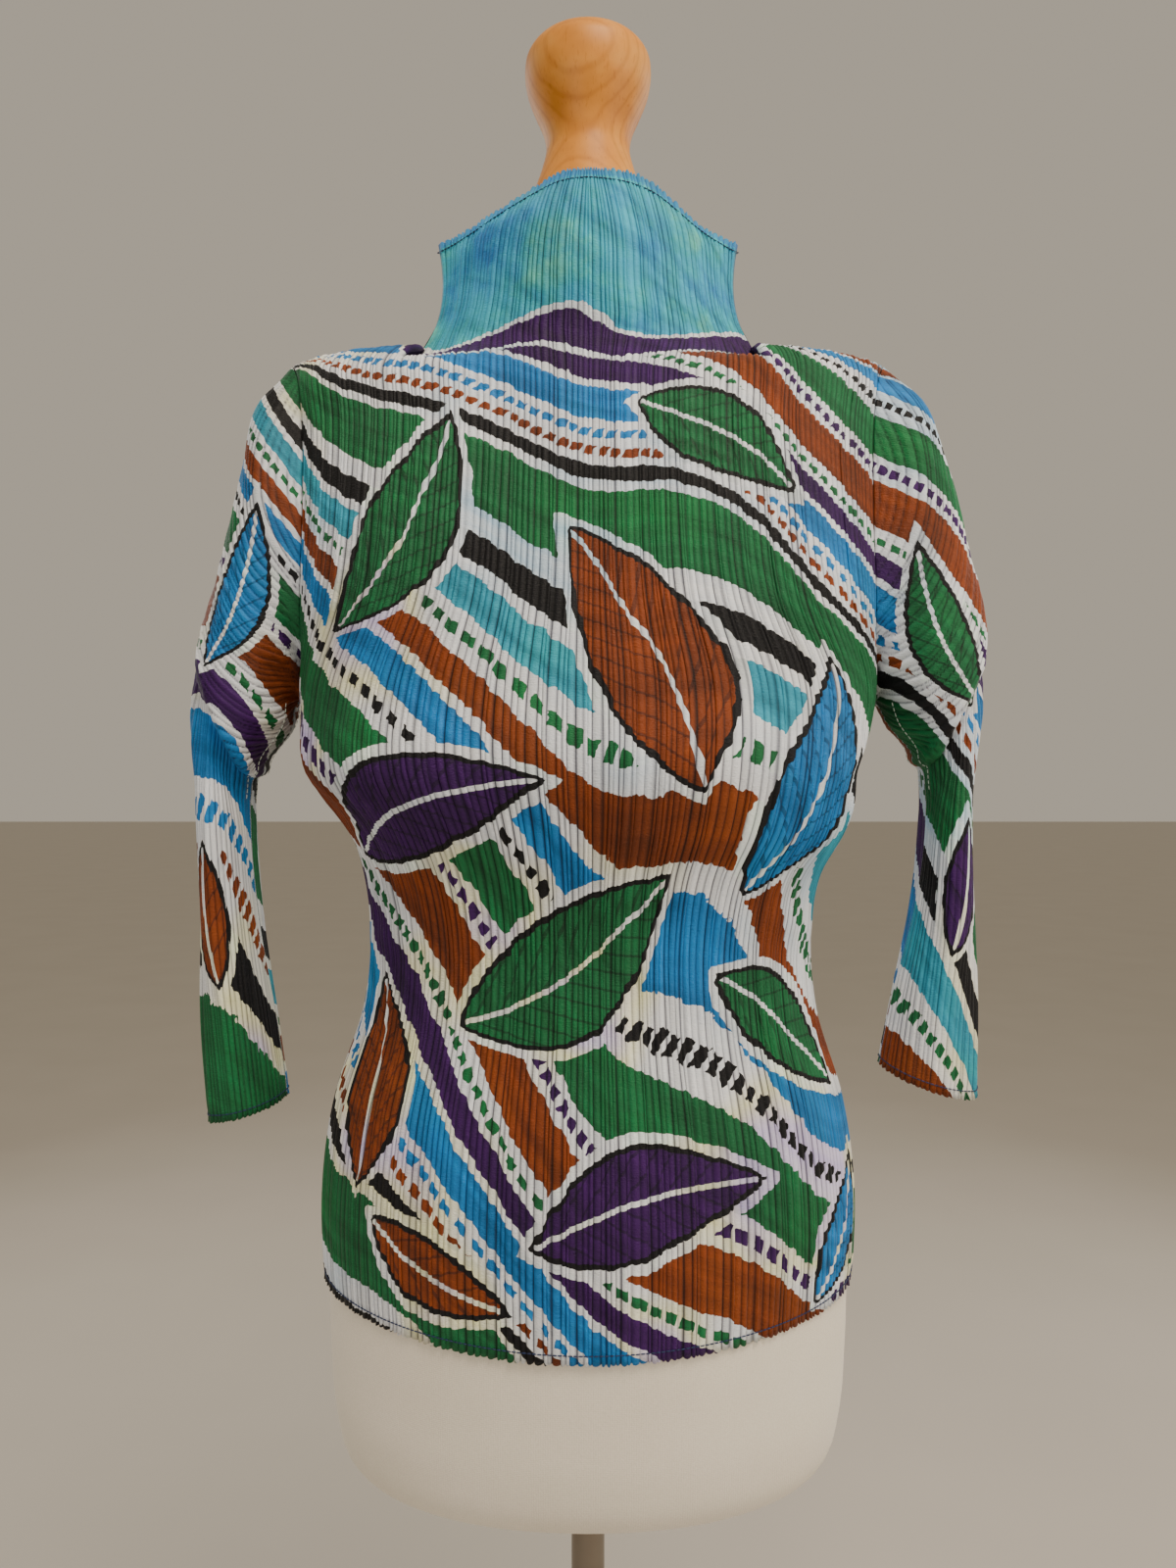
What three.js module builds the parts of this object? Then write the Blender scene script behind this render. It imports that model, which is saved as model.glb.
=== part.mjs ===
// A pleated high-necked top with narrow three-quarter sleeves, on a limbless dress form with a
// turned wooden neck knob and a round-footed stand.
// Millimetres, +Z up, the front faces -Y. The origin is on the floor under the middle of the foot.
// The wearer's left is +X. Heights in the tables are measured from the bust line.

import * as THREE from 'three';

// Stand and datum
const FORM_UNDERSIDE = 560; // above the floor
const FORM_DROP = 424; // from the bust line down to the form's underside
const BUST_LINE = FORM_UNDERSIDE + FORM_DROP;
const FOOT_RADIUS = 170;
const FOOT_THICKNESS = 9;
const POLE_RADIUS = 10.5;
const SOCKET_RADIUS = 17;
const SOCKET_HEIGHT = 34;
const FLANGE_RADIUS = 42;
const FLANGE_THICKNESS = 5;
const EDGE_BREAK = { foot: 2.5, socket: 2, flange: 0.8, pole: 0.4 };

// Cloth
const WALL = 1.2; // cloth and the floor of a pleat
const PLEAT_RISE = 1.6; // how far a pleat's ridge stands over its floor
const SEAM_GAP = 0.3;
const PRESSED_COLUMNS = 6; // a seam at the armhole presses the pleats flat over this many columns
const PRESSED_RISE = 0.35; // and leaves this share of a sleeve pleat's rise at its sewn edge
const BODY_PLEATS = 64; // on the front, and again on the back
const COLLAR_PLEATS = 36; // of those, the ones that run up into the collar
const SLEEVE_PLEATS = 36; // round each sleeve
const PANEL_INNER_STEP = 4; // columns of the ridged outside to one of a panel's plain inside
const SLEEVE_INNER_STEP = 2; // and of a sleeve's
const SEAM_TURN = 0.45; // least share of a wall's direction that lies in the plane of its seam
const UNDERARM_LIFT_ROWS = 1.5; // rows over which the sleeve's edge settles from above the underarm
const CURVE_STEPS = 96;

const BODY_COLUMNS = 2 * BODY_PLEATS;
const HALF_COLUMNS = BODY_COLUMNS / 2;
const COLLAR_HALF_COLUMNS = COLLAR_PLEATS;

// Each section of the two body panels, on the cloth's inner face. right and left are half widths
// at the side seam, depth is how far the middle stands out, full is how square the curve is
// (2 is an ellipse), and cut is the angle where the armhole stops the curve (90 is the side seam).
const FRONT_SECTIONS = [
  { name: 'hem', middle: -312, edge: -303, right: 163.2, left: 163.2, depth: 111, full: 1.9, cut: 90 },
  { name: 'hip', middle: -255, edge: -252, right: 164.4, left: 164.4, depth: 111.5, full: 1.95, cut: 90 },
  { name: 'high_hip', middle: -195, edge: -195, right: 157.0, left: 157.0, depth: 107, full: 2.0, cut: 90 },
  { name: 'belly', middle: -135, edge: -135, right: 137.5, left: 140.0, depth: 97, full: 2.1, cut: 90 },
  { name: 'waist', middle: -92, edge: -92, right: 133.5, left: 137.0, depth: 94, full: 2.2, cut: 90 },
  { name: 'ribs', middle: -54, edge: -54, right: 136.5, left: 142.0, depth: 101, full: 2.4, cut: 90 },
  { name: 'under_bust', middle: -26, edge: -26, right: 144.5, left: 156.5, depth: 113, full: 2.6, cut: 90 },
  { name: 'bust', middle: 8, edge: 8, right: 168.5, left: 162.0, depth: 123, full: 2.65, cut: 90 },
  { name: 'underarm', middle: 52, edge: 52, right: 176.0, left: 176.0, depth: 117, full: 2.3, cut: 90 },
  { name: 'chest', middle: 105, edge: 105, right: 177.5, left: 177.5, depth: 107, full: 2.4, cut: 75 },
  { name: 'high_chest', middle: 162, edge: 165, right: 179.0, left: 179.0, depth: 94, full: 2.3, cut: 72 },
  { name: 'collarbone', middle: 210, edge: 218, right: 180.5, left: 180.5, depth: 79, full: 2.15, cut: 74 },
  { name: 'shoulder', middle: 242, edge: 252, right: 182.5, left: 182.5, depth: 65, full: 2.0, cut: 80 },
];
const BACK_SECTIONS = [
  { name: 'hem', middle: -307, edge: -303, right: 163.2, left: 163.2, depth: 113, full: 2.0, cut: 90 },
  { name: 'hip', middle: -252, edge: -252, right: 164.4, left: 164.4, depth: 118, full: 2.1, cut: 90 },
  { name: 'high_hip', middle: -195, edge: -195, right: 157.0, left: 157.0, depth: 110, full: 2.1, cut: 90 },
  { name: 'hollow', middle: -135, edge: -135, right: 137.5, left: 140.0, depth: 92, full: 2.1, cut: 90 },
  { name: 'waist', middle: -92, edge: -92, right: 133.5, left: 137.0, depth: 85, full: 2.2, cut: 90 },
  { name: 'ribs', middle: -54, edge: -54, right: 136.5, left: 142.0, depth: 87, full: 2.3, cut: 90 },
  { name: 'mid_back', middle: -26, edge: -26, right: 144.5, left: 156.5, depth: 91, full: 2.4, cut: 90 },
  { name: 'under_blade', middle: 8, edge: 8, right: 168.5, left: 162.0, depth: 96, full: 2.5, cut: 90 },
  { name: 'underarm', middle: 52, edge: 52, right: 176.0, left: 176.0, depth: 102, full: 2.5, cut: 90 },
  { name: 'blade', middle: 105, edge: 105, right: 177.5, left: 177.5, depth: 107, full: 2.4, cut: 75 },
  { name: 'high_blade', middle: 165, edge: 165, right: 179.0, left: 179.0, depth: 102, full: 2.3, cut: 72 },
  { name: 'yoke', middle: 218, edge: 218, right: 180.5, left: 180.5, depth: 84, full: 2.15, cut: 74 },
  { name: 'shoulder', middle: 254, edge: 252, right: 182.5, left: 182.5, depth: 66, full: 2.0, cut: 80 },
];
const UNDERARM_ROW = 8;

// The shoulder seam runs from the collar's foot to the shoulder tip.
const SHOULDER_SEAM = { neck: 103, tip: 185.5, neckHeight: 273.5, fall: 3, tipFall: 7.5 };

// Rows of the grown-on collar: half is where its side seam stands, side and middle are heights.
// The first row is the neck line, level with the shoulder seam.
const FRONT_COLLAR = [
  { half: 103, depth: 58, side: 273.5, middle: 266 },
  { half: 95.5, depth: 59.5, side: 289, middle: 292 },
  { half: 93, depth: 57, side: 316, middle: 328 },
  { half: 92.5, depth: 44, side: 343, middle: 365.5 },
];
const BACK_COLLAR = [
  { half: 103, depth: 57, side: 273.5, middle: 277 },
  { half: 95.5, depth: 58, side: 289, middle: 300 },
  { half: 93, depth: 57, side: 316, middle: 328 },
  { half: 92.5, depth: 47, side: 343, middle: 354 },
];
const COLLAR_POINTEDNESS = 1.12; // over 1 draws the lens out towards its two side seams
const COLLAR_DIP = 1; // how fast a collar row falls from its middle to its side seams

// Rings of a sleeve below the armhole, on the cloth's inner face. outX, outZ is the overarm fold,
// inX, inZ the underarm seam, front and back how far the ring bellies out, sag how far its front drops.
// The upper sleeve bellies over the narrow lower sleeve in a soft slanting fold.
const SLEEVE_RINGS = {
  right: [
    { outX: 200, outZ: 243, inX: 182, inZ: 55, front: 40, back: 36, sag: 0 },
    { outX: 212, outZ: 200, inX: 186, inZ: 50, front: 42, back: 36, sag: 3 },
    { outX: 225, outZ: 146, inX: 189, inZ: 37, front: 43, back: 35, sag: 5 },
    { outX: 237.5, outZ: 92, inX: 206, inZ: 12, front: 43, back: 35, sag: 4 },
    { outX: 242.8, outZ: 52, inX: 215, inZ: -8, front: 30, back: 34, sag: 0 },
    { outX: 241.5, outZ: -10, inX: 215, inZ: -26, front: 33, back: 34, sag: 0 },
    { outX: 239, outZ: -80, inX: 210, inZ: -84, front: 31, back: 32, sag: 0 },
    { outX: 238, outZ: -146, inX: 200, inZ: -148, front: 28, back: 27, sag: 0 },
    { outX: 236, outZ: -208, inX: 192, inZ: -196, front: 25, back: 21, sag: 2 },
  ],
  left: [
    { outX: 202, outZ: 245, inX: 182, inZ: 54, front: 40, back: 36, sag: 0 },
    { outX: 220, outZ: 205, inX: 186, inZ: 48, front: 42, back: 36, sag: 2 },
    { outX: 234, outZ: 150, inX: 192, inZ: 37, front: 43, back: 35, sag: 3 },
    { outX: 242.9, outZ: 98, inX: 206, inZ: 20, front: 43, back: 35, sag: 3 },
    { outX: 241.5, outZ: 56, inX: 215, inZ: -4, front: 30, back: 34, sag: 0 },
    { outX: 236, outZ: -14, inX: 215, inZ: -24, front: 33, back: 34, sag: 0 },
    { outX: 238, outZ: -78, inX: 208, inZ: -80, front: 31, back: 32, sag: 0 },
    { outX: 240.5, outZ: -138, inX: 195, inZ: -136, front: 28, back: 27, sag: 0 },
    { outX: 242.5, outZ: -193, inX: 186, inZ: -176, front: 26, back: 21, sag: 4 },
  ],
};
const RING_FULLNESS = 0.8; // below 1 the ring's sides are flatter than an ellipse's

// Sections of the dress form, inside the cloth.
const FORM_SECTIONS = [
  { z: -424, half: 124, front: 70, back: 72, full: 2.1 },
  { z: -419, half: 141, front: 87, back: 89, full: 2.1 },
  { z: -407, half: 151, front: 99, back: 101, full: 2.1 },
  { z: -386, half: 156.5, front: 105, back: 107, full: 2.1 },
  { z: -345, half: 160.5, front: 108.4, back: 110.8, full: 2.02 },
  { z: -300, half: 162.3, front: 109.6, back: 112, full: 1.94 },
  { z: -252, half: 163.4, front: 110.4, back: 116.6, full: 1.96 },
  { z: -195, half: 154, front: 105, back: 108, full: 2.0 },
  { z: -135, half: 128, front: 92, back: 86, full: 2.1 },
  { z: -92, half: 121, front: 88, back: 79, full: 2.1 },
  { z: -54, half: 127, front: 93, back: 82, full: 2.3 },
  { z: -24, half: 139, front: 107, back: 87, full: 2.6 },
  { z: 8, half: 152, front: 121.8, back: 93, full: 2.8 },
  { z: 52, half: 160, front: 114.5, back: 99, full: 2.5 },
  { z: 105, half: 164, front: 104, back: 104, full: 2.35 },
  { z: 165, half: 166, front: 90, back: 99, full: 2.25 },
  { z: 215, half: 169, front: 74, back: 81, full: 2.1 },
  { z: 236, half: 172, front: 62, back: 70, full: 1.9 },
  { z: 250, half: 173, front: 57, back: 62, full: 1.45 },
  { z: 258, half: 168, front: 52, back: 55, full: 1.2 },
  { z: 263.5, half: 132, front: 50, back: 53, full: 1.15 },
  { z: 268, half: 100, front: 49, back: 51, full: 1.2 },
  { z: 276, half: 66, front: 49, back: 50, full: 1.9 },
  { z: 305, half: 56, front: 54, back: 52, full: 2.0 },
];
const FORM_COLUMNS = 36;

// Profile of the turned neck knob, from its seat on the form's neck to its flat top.
const KNOB_PROFILE = [
  { z: 0, radius: 52 },
  { z: 6, radius: 54 },
  { z: 15, radius: 53 },
  { z: 30, radius: 47.5 },
  { z: 48, radius: 40.5 },
  { z: 66, radius: 34.5 },
  { z: 82, radius: 29 },
  { z: 95, radius: 26.3 },
  { z: 105, radius: 28 },
  { z: 117, radius: 33 },
  { z: 130, radius: 38 },
  { z: 142, radius: 39.7 },
  { z: 151.5, radius: 38.2 },
  { z: 157.5, radius: 33.5 },
  { z: 160.5, radius: 27 },
];
const KNOB_FACETS = 28;
const TUBE_FACETS = 24;
const FOOT_FACETS = 48;

const material = (color, roughness, metalness = 0) =>
  new THREE.MeshStandardMaterial({ color, roughness, metalness });
const FINISHES = {
  pleats: material(0x2f8a55, 0.55),
  jersey: material(0xe9e1d2, 0.9),
  wood: material(0xc98f4e, 0.35),
  chrome: material(0xc9ccd0, 0.15, 1),
};

const radians = THREE.MathUtils.degToRad;
const lerp = THREE.MathUtils.lerp;
const point = (x, y, z) => new THREE.Vector3(x, y, z);

// A polyline measured again into equal steps, keeping its two ends.
function evenly(points, steps) {
  const lengths = [0];
  for (let i = 1; i < points.length; i += 1) {
    lengths.push(lengths[i - 1] + points[i].distanceTo(points[i - 1]));
  }
  const total = lengths.at(-1);
  const spread = [];
  let k = 1;
  for (let i = 0; i <= steps; i += 1) {
    const reach = (total * i) / steps;
    while (k < points.length - 1 && lengths[k] < reach) {
      k += 1;
    }
    const share = (reach - lengths[k - 1]) / (lengths[k] - lengths[k - 1]);
    spread.push(points[k - 1].clone().lerp(points[k], share));
  }
  return spread;
}

// Half of a body section, from the middle of the panel to its edge on the side given by sign.
function sectionHalf(section, side, sign) {
  const half = section[side];
  const end = radians(section.cut);
  const power = 2 / section.full;
  const reach = half * Math.sin(end) ** power;
  const curve = [];
  for (let i = 0; i <= CURVE_STEPS; i += 1) {
    const angle = (end * i) / CURVE_STEPS;
    const x = half * Math.sin(angle) ** power;
    const y = section.depth * Math.max(Math.cos(angle), 0) ** power;
    const z = lerp(section.middle, section.edge, (x / reach) ** 2);
    curve.push(point(sign * x, y, z));
  }
  return evenly(curve, HALF_COLUMNS);
}

// Half of a collar row: a pointed lens from the middle of the panel to the collar's side seam.
function collarHalf(row, sign) {
  const curve = [];
  for (let i = 0; i <= CURVE_STEPS; i += 1) {
    const share = i / CURVE_STEPS;
    const y = row.depth * Math.max(1 - share ** 2, 0) ** COLLAR_POINTEDNESS;
    const z = lerp(row.middle, row.side, share ** COLLAR_DIP);
    curve.push(point(sign * row.half * share, y, z));
  }
  return evenly(curve, COLLAR_HALF_COLUMNS);
}

function shoulderSeamHalf(sign) {
  const { neck, tip, neckHeight, fall, tipFall } = SHOULDER_SEAM;
  const curve = [];
  for (let i = 0; i <= CURVE_STEPS; i += 1) {
    const share = i / CURVE_STEPS;
    curve.push(point(sign * lerp(neck, tip, share), 0, neckHeight - fall * share - tipFall * share ** 3));
  }
  return evenly(curve, HALF_COLUMNS - COLLAR_HALF_COLUMNS);
}

// Two halves joined into one row that runs from the wearer's right (-X) to the left (+X).
const joinHalves = (right, left) => [...right.slice(1).reverse(), ...left];

// All rows of a body panel on its inner face, mirrored to the front or back by facing (-1 or +1).
// Rows above the shoulder seam hold only the collar's columns.
function panelRows(sections, collar, facing) {
  const rows = sections.map((s) => joinHalves(sectionHalf(s, 'right', -1), sectionHalf(s, 'left', 1)));
  const neckLine = (sign) => [...collarHalf(collar[0], sign), ...shoulderSeamHalf(sign).slice(1)];
  rows.push(joinHalves(neckLine(-1), neckLine(1)));
  const collarRows = collar.slice(1).map((row) => joinHalves(collarHalf(row, -1), collarHalf(row, 1)));
  const place = (p) => point(p.x, facing * (p.y + SEAM_GAP / 2), p.z);
  return { body: rows.map((r) => r.map(place)), collar: collarRows.map((r) => r.map(place)) };
}

// Outward normals of a grid of points, by differences along the row and from row to row.
function gridNormals(rows, facing, wrap = false) {
  return rows.map((row, j) =>
    row.map((_, i) => {
      const count = row.length;
      const before = wrap ? (i + count - 1) % count : Math.max(i - 1, 0);
      const after = wrap ? (i + 1) % count : Math.min(i + 1, count - 1);
      const along = row[after].clone().sub(row[before]);
      const up = rows[Math.min(j + 1, rows.length - 1)][i].clone().sub(rows[Math.max(j - 1, 0)][i]);
      return along.cross(up).multiplyScalar(-facing).normalize();
    }),
  );
}

// A seam lies in the plane between front and back, so the cloth's end there keeps to that plane.
function flattenOntoSeam(normal) {
  const flat = point(normal.x, 0, normal.z);
  const share = Math.max(flat.length(), SEAM_TURN);
  return flat.normalize().divideScalar(share);
}

// Height of the outer face over the inner face: a wall at a pleat's floor, and more on its ridge.
const ridge = (column, share) => WALL + (column % 2 === 1 ? PLEAT_RISE * share : 0);

// A row's outer points, with each ridge at the share of its full rise that shareAt gives.
const raised = (row, normals, shareAt = () => 1) =>
  row.map((p, i) => p.clone().addScaledVector(normals[i], ridge(i, shareAt(i))));

// How much of the rise is left at a column of a row that ends in the armhole on both sides.
const pressedAtArmhole = (column) =>
  Math.min(1, Math.min(column, BODY_COLUMNS - column) / PRESSED_COLUMNS);

// Triangles of a band between two rows, facing one way or the other.
function band(triangles, lower, upper, outwards, wrap = false) {
  const last = wrap ? lower.length : lower.length - 1;
  for (let i = 0; i < last; i += 1) {
    const next = (i + 1) % lower.length;
    const quad = [lower[i], lower[next], upper[next], upper[i]];
    const [a, b, c, d] = outwards ? quad : quad.reverse();
    triangles.push([a, b, c], [a, c, d]);
  }
}

// Closes the edge between a ridged outer line and a plain inner line with fewer points.
function rim(triangles, outer, inner) {
  const ratio = (outer.length - 1) / (inner.length - 1);
  for (let s = 0; s < inner.length - 1; s += 1) {
    for (let m = 0; m < ratio; m += 1) {
      const near = m < ratio / 2 ? inner[s] : inner[s + 1];
      triangles.push([outer[s * ratio + m + 1], outer[s * ratio + m], near]);
    }
    triangles.push([outer[s * ratio + Math.ceil(ratio / 2)], inner[s], inner[s + 1]]);
  }
}

// One closed mesh from triangles of points, turned so that it faces outwards.
function solid(triangles) {
  const volume = triangles.reduce((sum, [a, b, c]) => sum + a.dot(b.clone().cross(c)), 0);
  const facing = volume < 0 ? triangles.map(([a, b, c]) => [a, c, b]) : triangles;
  const positions = facing.flat().flatMap((p) => [p.x, p.y, p.z]);
  const geometry = new THREE.BufferGeometry();
  geometry.setAttribute('position', new THREE.Float32BufferAttribute(positions, 3));
  geometry.computeVertexNormals();
  return geometry;
}

// A front or back panel with its half of the collar grown on.
function panel(rows, facing) {
  const bodyNormals = gridNormals(rows.body, facing);
  const neck = rows.body.at(-1);
  const start = HALF_COLUMNS - COLLAR_HALF_COLUMNS;
  const end = HALF_COLUMNS + COLLAR_HALF_COLUMNS;
  const collarGrid = [rows.body.at(-2).slice(start, end + 1), neck.slice(start, end + 1), ...rows.collar];
  const collarNormals = gridNormals(collarGrid, facing).slice(1);
  bodyNormals.forEach((normals, j) => {
    if (j <= UNDERARM_ROW) {
      normals[0] = flattenOntoSeam(normals[0]);
      normals[BODY_COLUMNS] = flattenOntoSeam(normals[BODY_COLUMNS]);
    }
  });
  collarNormals.forEach((normals) => {
    normals[0] = flattenOntoSeam(normals[0]);
    normals[end - start] = flattenOntoSeam(normals[end - start]);
  });
  const top = bodyNormals.at(-1).map(flattenOntoSeam);
  for (let i = start + 1; i < end; i += 1) {
    top[i] = collarNormals[0][i - start];
  }
  bodyNormals[bodyNormals.length - 1] = top;

  const inner = rows.body;
  const atArmhole = (j) => (j >= UNDERARM_ROW ? pressedAtArmhole : undefined);
  const outer = inner.map((row, j) => raised(row, bodyNormals[j], atArmhole(j)));
  const innerCollar = [neck.slice(start, end + 1), ...rows.collar];
  const outerCollar = [
    outer.at(-1).slice(start, end + 1),
    ...rows.collar.map((row, j) => raised(row, collarNormals[j + 1])),
  ];
  const thinned = (row) => row.filter((_, i) => i % PANEL_INNER_STEP === 0);
  const triangles = [];
  for (let j = 0; j < inner.length - 1; j += 1) {
    band(triangles, outer[j], outer[j + 1], true);
    band(triangles, thinned(inner[j]), thinned(inner[j + 1]), false);
  }
  for (let j = 0; j < innerCollar.length - 1; j += 1) {
    band(triangles, outerCollar[j], outerCollar[j + 1], true);
    band(triangles, thinned(innerCollar[j]), thinned(innerCollar[j + 1]), false);
  }
  const column = (grid, i) => grid.map((row) => row[i]);
  const backwards = (line) => [...line].reverse();
  const closeRow = (outerLine, innerLine) => rim(triangles, outerLine, thinned(innerLine));
  closeRow(outer[0], inner[0]);
  rim(triangles, column(outer, BODY_COLUMNS), column(inner, BODY_COLUMNS));
  closeRow(backwards(outer.at(-1).slice(end)), backwards(neck.slice(end)));
  rim(triangles, column(outerCollar, end - start), column(innerCollar, end - start));
  closeRow(backwards(outerCollar.at(-1)), backwards(innerCollar.at(-1)));
  rim(triangles, backwards(column(outerCollar, 0)), backwards(column(innerCollar, 0)));
  closeRow(backwards(outer.at(-1).slice(0, start + 1)), backwards(neck.slice(0, start + 1)));
  rim(triangles, backwards(column(outer, 0)), backwards(column(inner, 0)));
  return { geometry: solid(triangles), normals: bodyNormals };
}

// The armhole as one closed ring, from the shoulder tip down the front and up the back.
// It stands clear of the body's edge, and above it at the underarm where the sleeve lies across.
function armholeRing(front, back, column, sign) {
  const clear = (rows, made) =>
    rows.body.slice(UNDERARM_ROW).map((row, k) => {
      const normal = made.normals[UNDERARM_ROW + k][column];
      const under = Math.max(1 - k / UNDERARM_LIFT_ROWS, 0);
      const out = 2 * SEAM_GAP + WALL * Math.abs(normal.x);
      return row[column].clone().add(point(sign * out, 0, under * (WALL + PLEAT_RISE + SEAM_GAP)));
    });
  const frontEdge = clear(front.rows, front).reverse();
  const backEdge = clear(back.rows, back);
  const tip = frontEdge[0].clone().lerp(backEdge.at(-1), 0.5);
  const underarm = frontEdge.at(-1).clone().lerp(backEdge[0], 0.5);
  const down = evenly([tip, ...frontEdge.slice(1, -1), underarm], SLEEVE_PLEATS);
  const up = evenly([underarm, ...backEdge.slice(1, -1), tip], SLEEVE_PLEATS);
  return [...down.slice(0, -1), ...up.slice(0, -1)];
}

// One ring of a sleeve: an oval from the overarm fold down the front to the seam and up the back.
function sleeveRing(ring, sign) {
  const half = (belly, sag) => {
    const curve = [];
    for (let i = 0; i <= CURVE_STEPS; i += 1) {
      const angle = (Math.PI * i) / CURVE_STEPS;
      const share = (1 - Math.cos(angle)) / 2;
      const x = lerp(ring.outX, ring.inX, share);
      const out = Math.sin(angle) ** RING_FULLNESS;
      const z = lerp(ring.outZ, ring.inZ, share) - sag * Math.sin(angle);
      curve.push(point(sign * x, belly * out, z));
    }
    return evenly(curve, SLEEVE_PLEATS);
  };
  const down = half(-ring.front, ring.sag);
  const up = half(ring.back, 0).reverse();
  return [...down.slice(0, -1), ...up.slice(0, -1)];
}

function sleeve(front, back, side, sign) {
  const column = sign < 0 ? 0 : BODY_COLUMNS;
  const rings = SLEEVE_RINGS[side].map((ring) => sleeveRing(ring, sign));
  const inner = [armholeRing(front, back, column, sign), ...rings];
  const normals = gridNormals(inner, -sign, true);
  // The sewn edge thickens away from the sleeve's hollow but never leans over the body.
  normals[0] = normals[0].map((n) => point(sign * Math.max(sign * n.x, 0), n.y, n.z).normalize());
  const outer = inner.map((row, j) => raised(row, normals[j], () => (j === 0 ? PRESSED_RISE : 1)));
  const thinned = (row) => row.filter((_, i) => i % SLEEVE_INNER_STEP === 0);
  const closed = (row) => [...row, row[0]];
  const triangles = [];
  for (let j = 0; j < inner.length - 1; j += 1) {
    band(triangles, outer[j], outer[j + 1], true, true);
    band(triangles, thinned(inner[j]), thinned(inner[j + 1]), false, true);
  }
  rim(triangles, closed(outer[0]), closed(thinned(inner[0])));
  const backwards = (row) => closed(row).reverse();
  rim(triangles, backwards(outer.at(-1)), backwards(thinned(inner.at(-1))));
  return solid(triangles);
}

// The form's smooth torso, with a flat underside and a flat neck top.
function torso() {
  const ring = (s) =>
    Array.from({ length: FORM_COLUMNS }, (_, i) => {
      const angle = (2 * Math.PI * i) / FORM_COLUMNS;
      const power = 2 / s.full;
      const across = Math.sign(Math.sin(angle)) * Math.abs(Math.sin(angle)) ** power;
      const deep = Math.sign(Math.cos(angle)) * Math.abs(Math.cos(angle)) ** power;
      return point(s.half * across, (deep < 0 ? s.back : s.front) * -deep, s.z);
    });
  const rings = FORM_SECTIONS.map(ring);
  const triangles = [];
  for (let j = 0; j < rings.length - 1; j += 1) {
    band(triangles, rings[j], rings[j + 1], true, true);
  }
  const cap = (row, s, outwards) => {
    const middle = point(0, 0, s.z);
    row.forEach((p, i) => {
      const next = row[(i + 1) % row.length];
      triangles.push(outwards ? [middle, p, next] : [middle, next, p]);
    });
  };
  cap(rings[0], FORM_SECTIONS[0], false);
  cap(rings.at(-1), FORM_SECTIONS.at(-1), true);
  return solid(triangles);
}

// A turned piece: its profile runs from the axis, up the outside, and back to the axis.
function turned(profile, facets) {
  const outline = [
    new THREE.Vector2(0, profile[0].z),
    ...profile.map((p) => new THREE.Vector2(p.radius, p.z)),
    new THREE.Vector2(0, profile.at(-1).z),
  ];
  return new THREE.LatheGeometry(outline, facets).rotateX(Math.PI / 2);
}

const disc = (radius, thickness, chamfer) => [
  { z: 0, radius },
  { z: thickness - chamfer, radius },
  { z: thickness, radius: radius - chamfer },
];

const pleatedTop = new THREE.Group();

function add(name, geometry, finish, z) {
  const mesh = new THREE.Mesh(geometry, finish);
  mesh.name = name;
  mesh.position.z = z;
  pleatedTop.add(mesh);
}

const frontRows = panelRows(FRONT_SECTIONS, FRONT_COLLAR, -1);
const backRows = panelRows(BACK_SECTIONS, BACK_COLLAR, 1);
const front = { rows: frontRows, ...panel(frontRows, -1) };
const back = { rows: backRows, ...panel(backRows, 1) };

add('front', front.geometry, FINISHES.pleats, BUST_LINE);
add('back', back.geometry, FINISHES.pleats, BUST_LINE);
add('sleeve_right', sleeve(front, back, 'right', -1), FINISHES.pleats, BUST_LINE);
add('sleeve_left', sleeve(front, back, 'left', 1), FINISHES.pleats, BUST_LINE);
add('torso', torso(), FINISHES.jersey, BUST_LINE);
const knobSeat = BUST_LINE + FORM_SECTIONS.at(-1).z + SEAM_GAP;
add('neck_knob', turned(KNOB_PROFILE, KNOB_FACETS), FINISHES.wood, knobSeat);

const poleTop = FORM_UNDERSIDE - FLANGE_THICKNESS - 2 * SEAM_GAP;
const poleFoot = FOOT_THICKNESS + SEAM_GAP;
const flangeFoot = poleTop + SEAM_GAP;
const flangeProfile = disc(FLANGE_RADIUS, FLANGE_THICKNESS, EDGE_BREAK.flange);
add('flange', turned(flangeProfile, TUBE_FACETS), FINISHES.chrome, flangeFoot);
const poleProfile = disc(POLE_RADIUS, poleTop - poleFoot, EDGE_BREAK.pole);
add('pole', turned(poleProfile, TUBE_FACETS), FINISHES.chrome, poleFoot);
add('foot', turned(disc(FOOT_RADIUS, FOOT_THICKNESS, EDGE_BREAK.foot), FOOT_FACETS), FINISHES.chrome, 0);

// The socket is a ring round the pole's foot, so its profile closes on itself.
const socketInside = POLE_RADIUS + SEAM_GAP;
const socketOutline = [
  [socketInside, 0],
  [SOCKET_RADIUS, 0],
  [SOCKET_RADIUS, SOCKET_HEIGHT - EDGE_BREAK.socket],
  [SOCKET_RADIUS - EDGE_BREAK.socket, SOCKET_HEIGHT],
  [socketInside, SOCKET_HEIGHT],
  [socketInside, 0],
].map(([radius, z]) => new THREE.Vector2(radius, z));
const socketRing = new THREE.LatheGeometry(socketOutline, TUBE_FACETS).rotateX(Math.PI / 2);
add('socket', socketRing, FINISHES.chrome, poleFoot);

export default pleatedTop;
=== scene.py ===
"""A pleated high-necked top on a limbless dress form with a turned knob and a round-footed stand.

Tables are in millimetres, with heights from the bust line, and every mesh is put into metres as it
is made. The front faces -Y and the wearer's left is +X.
"""

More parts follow.
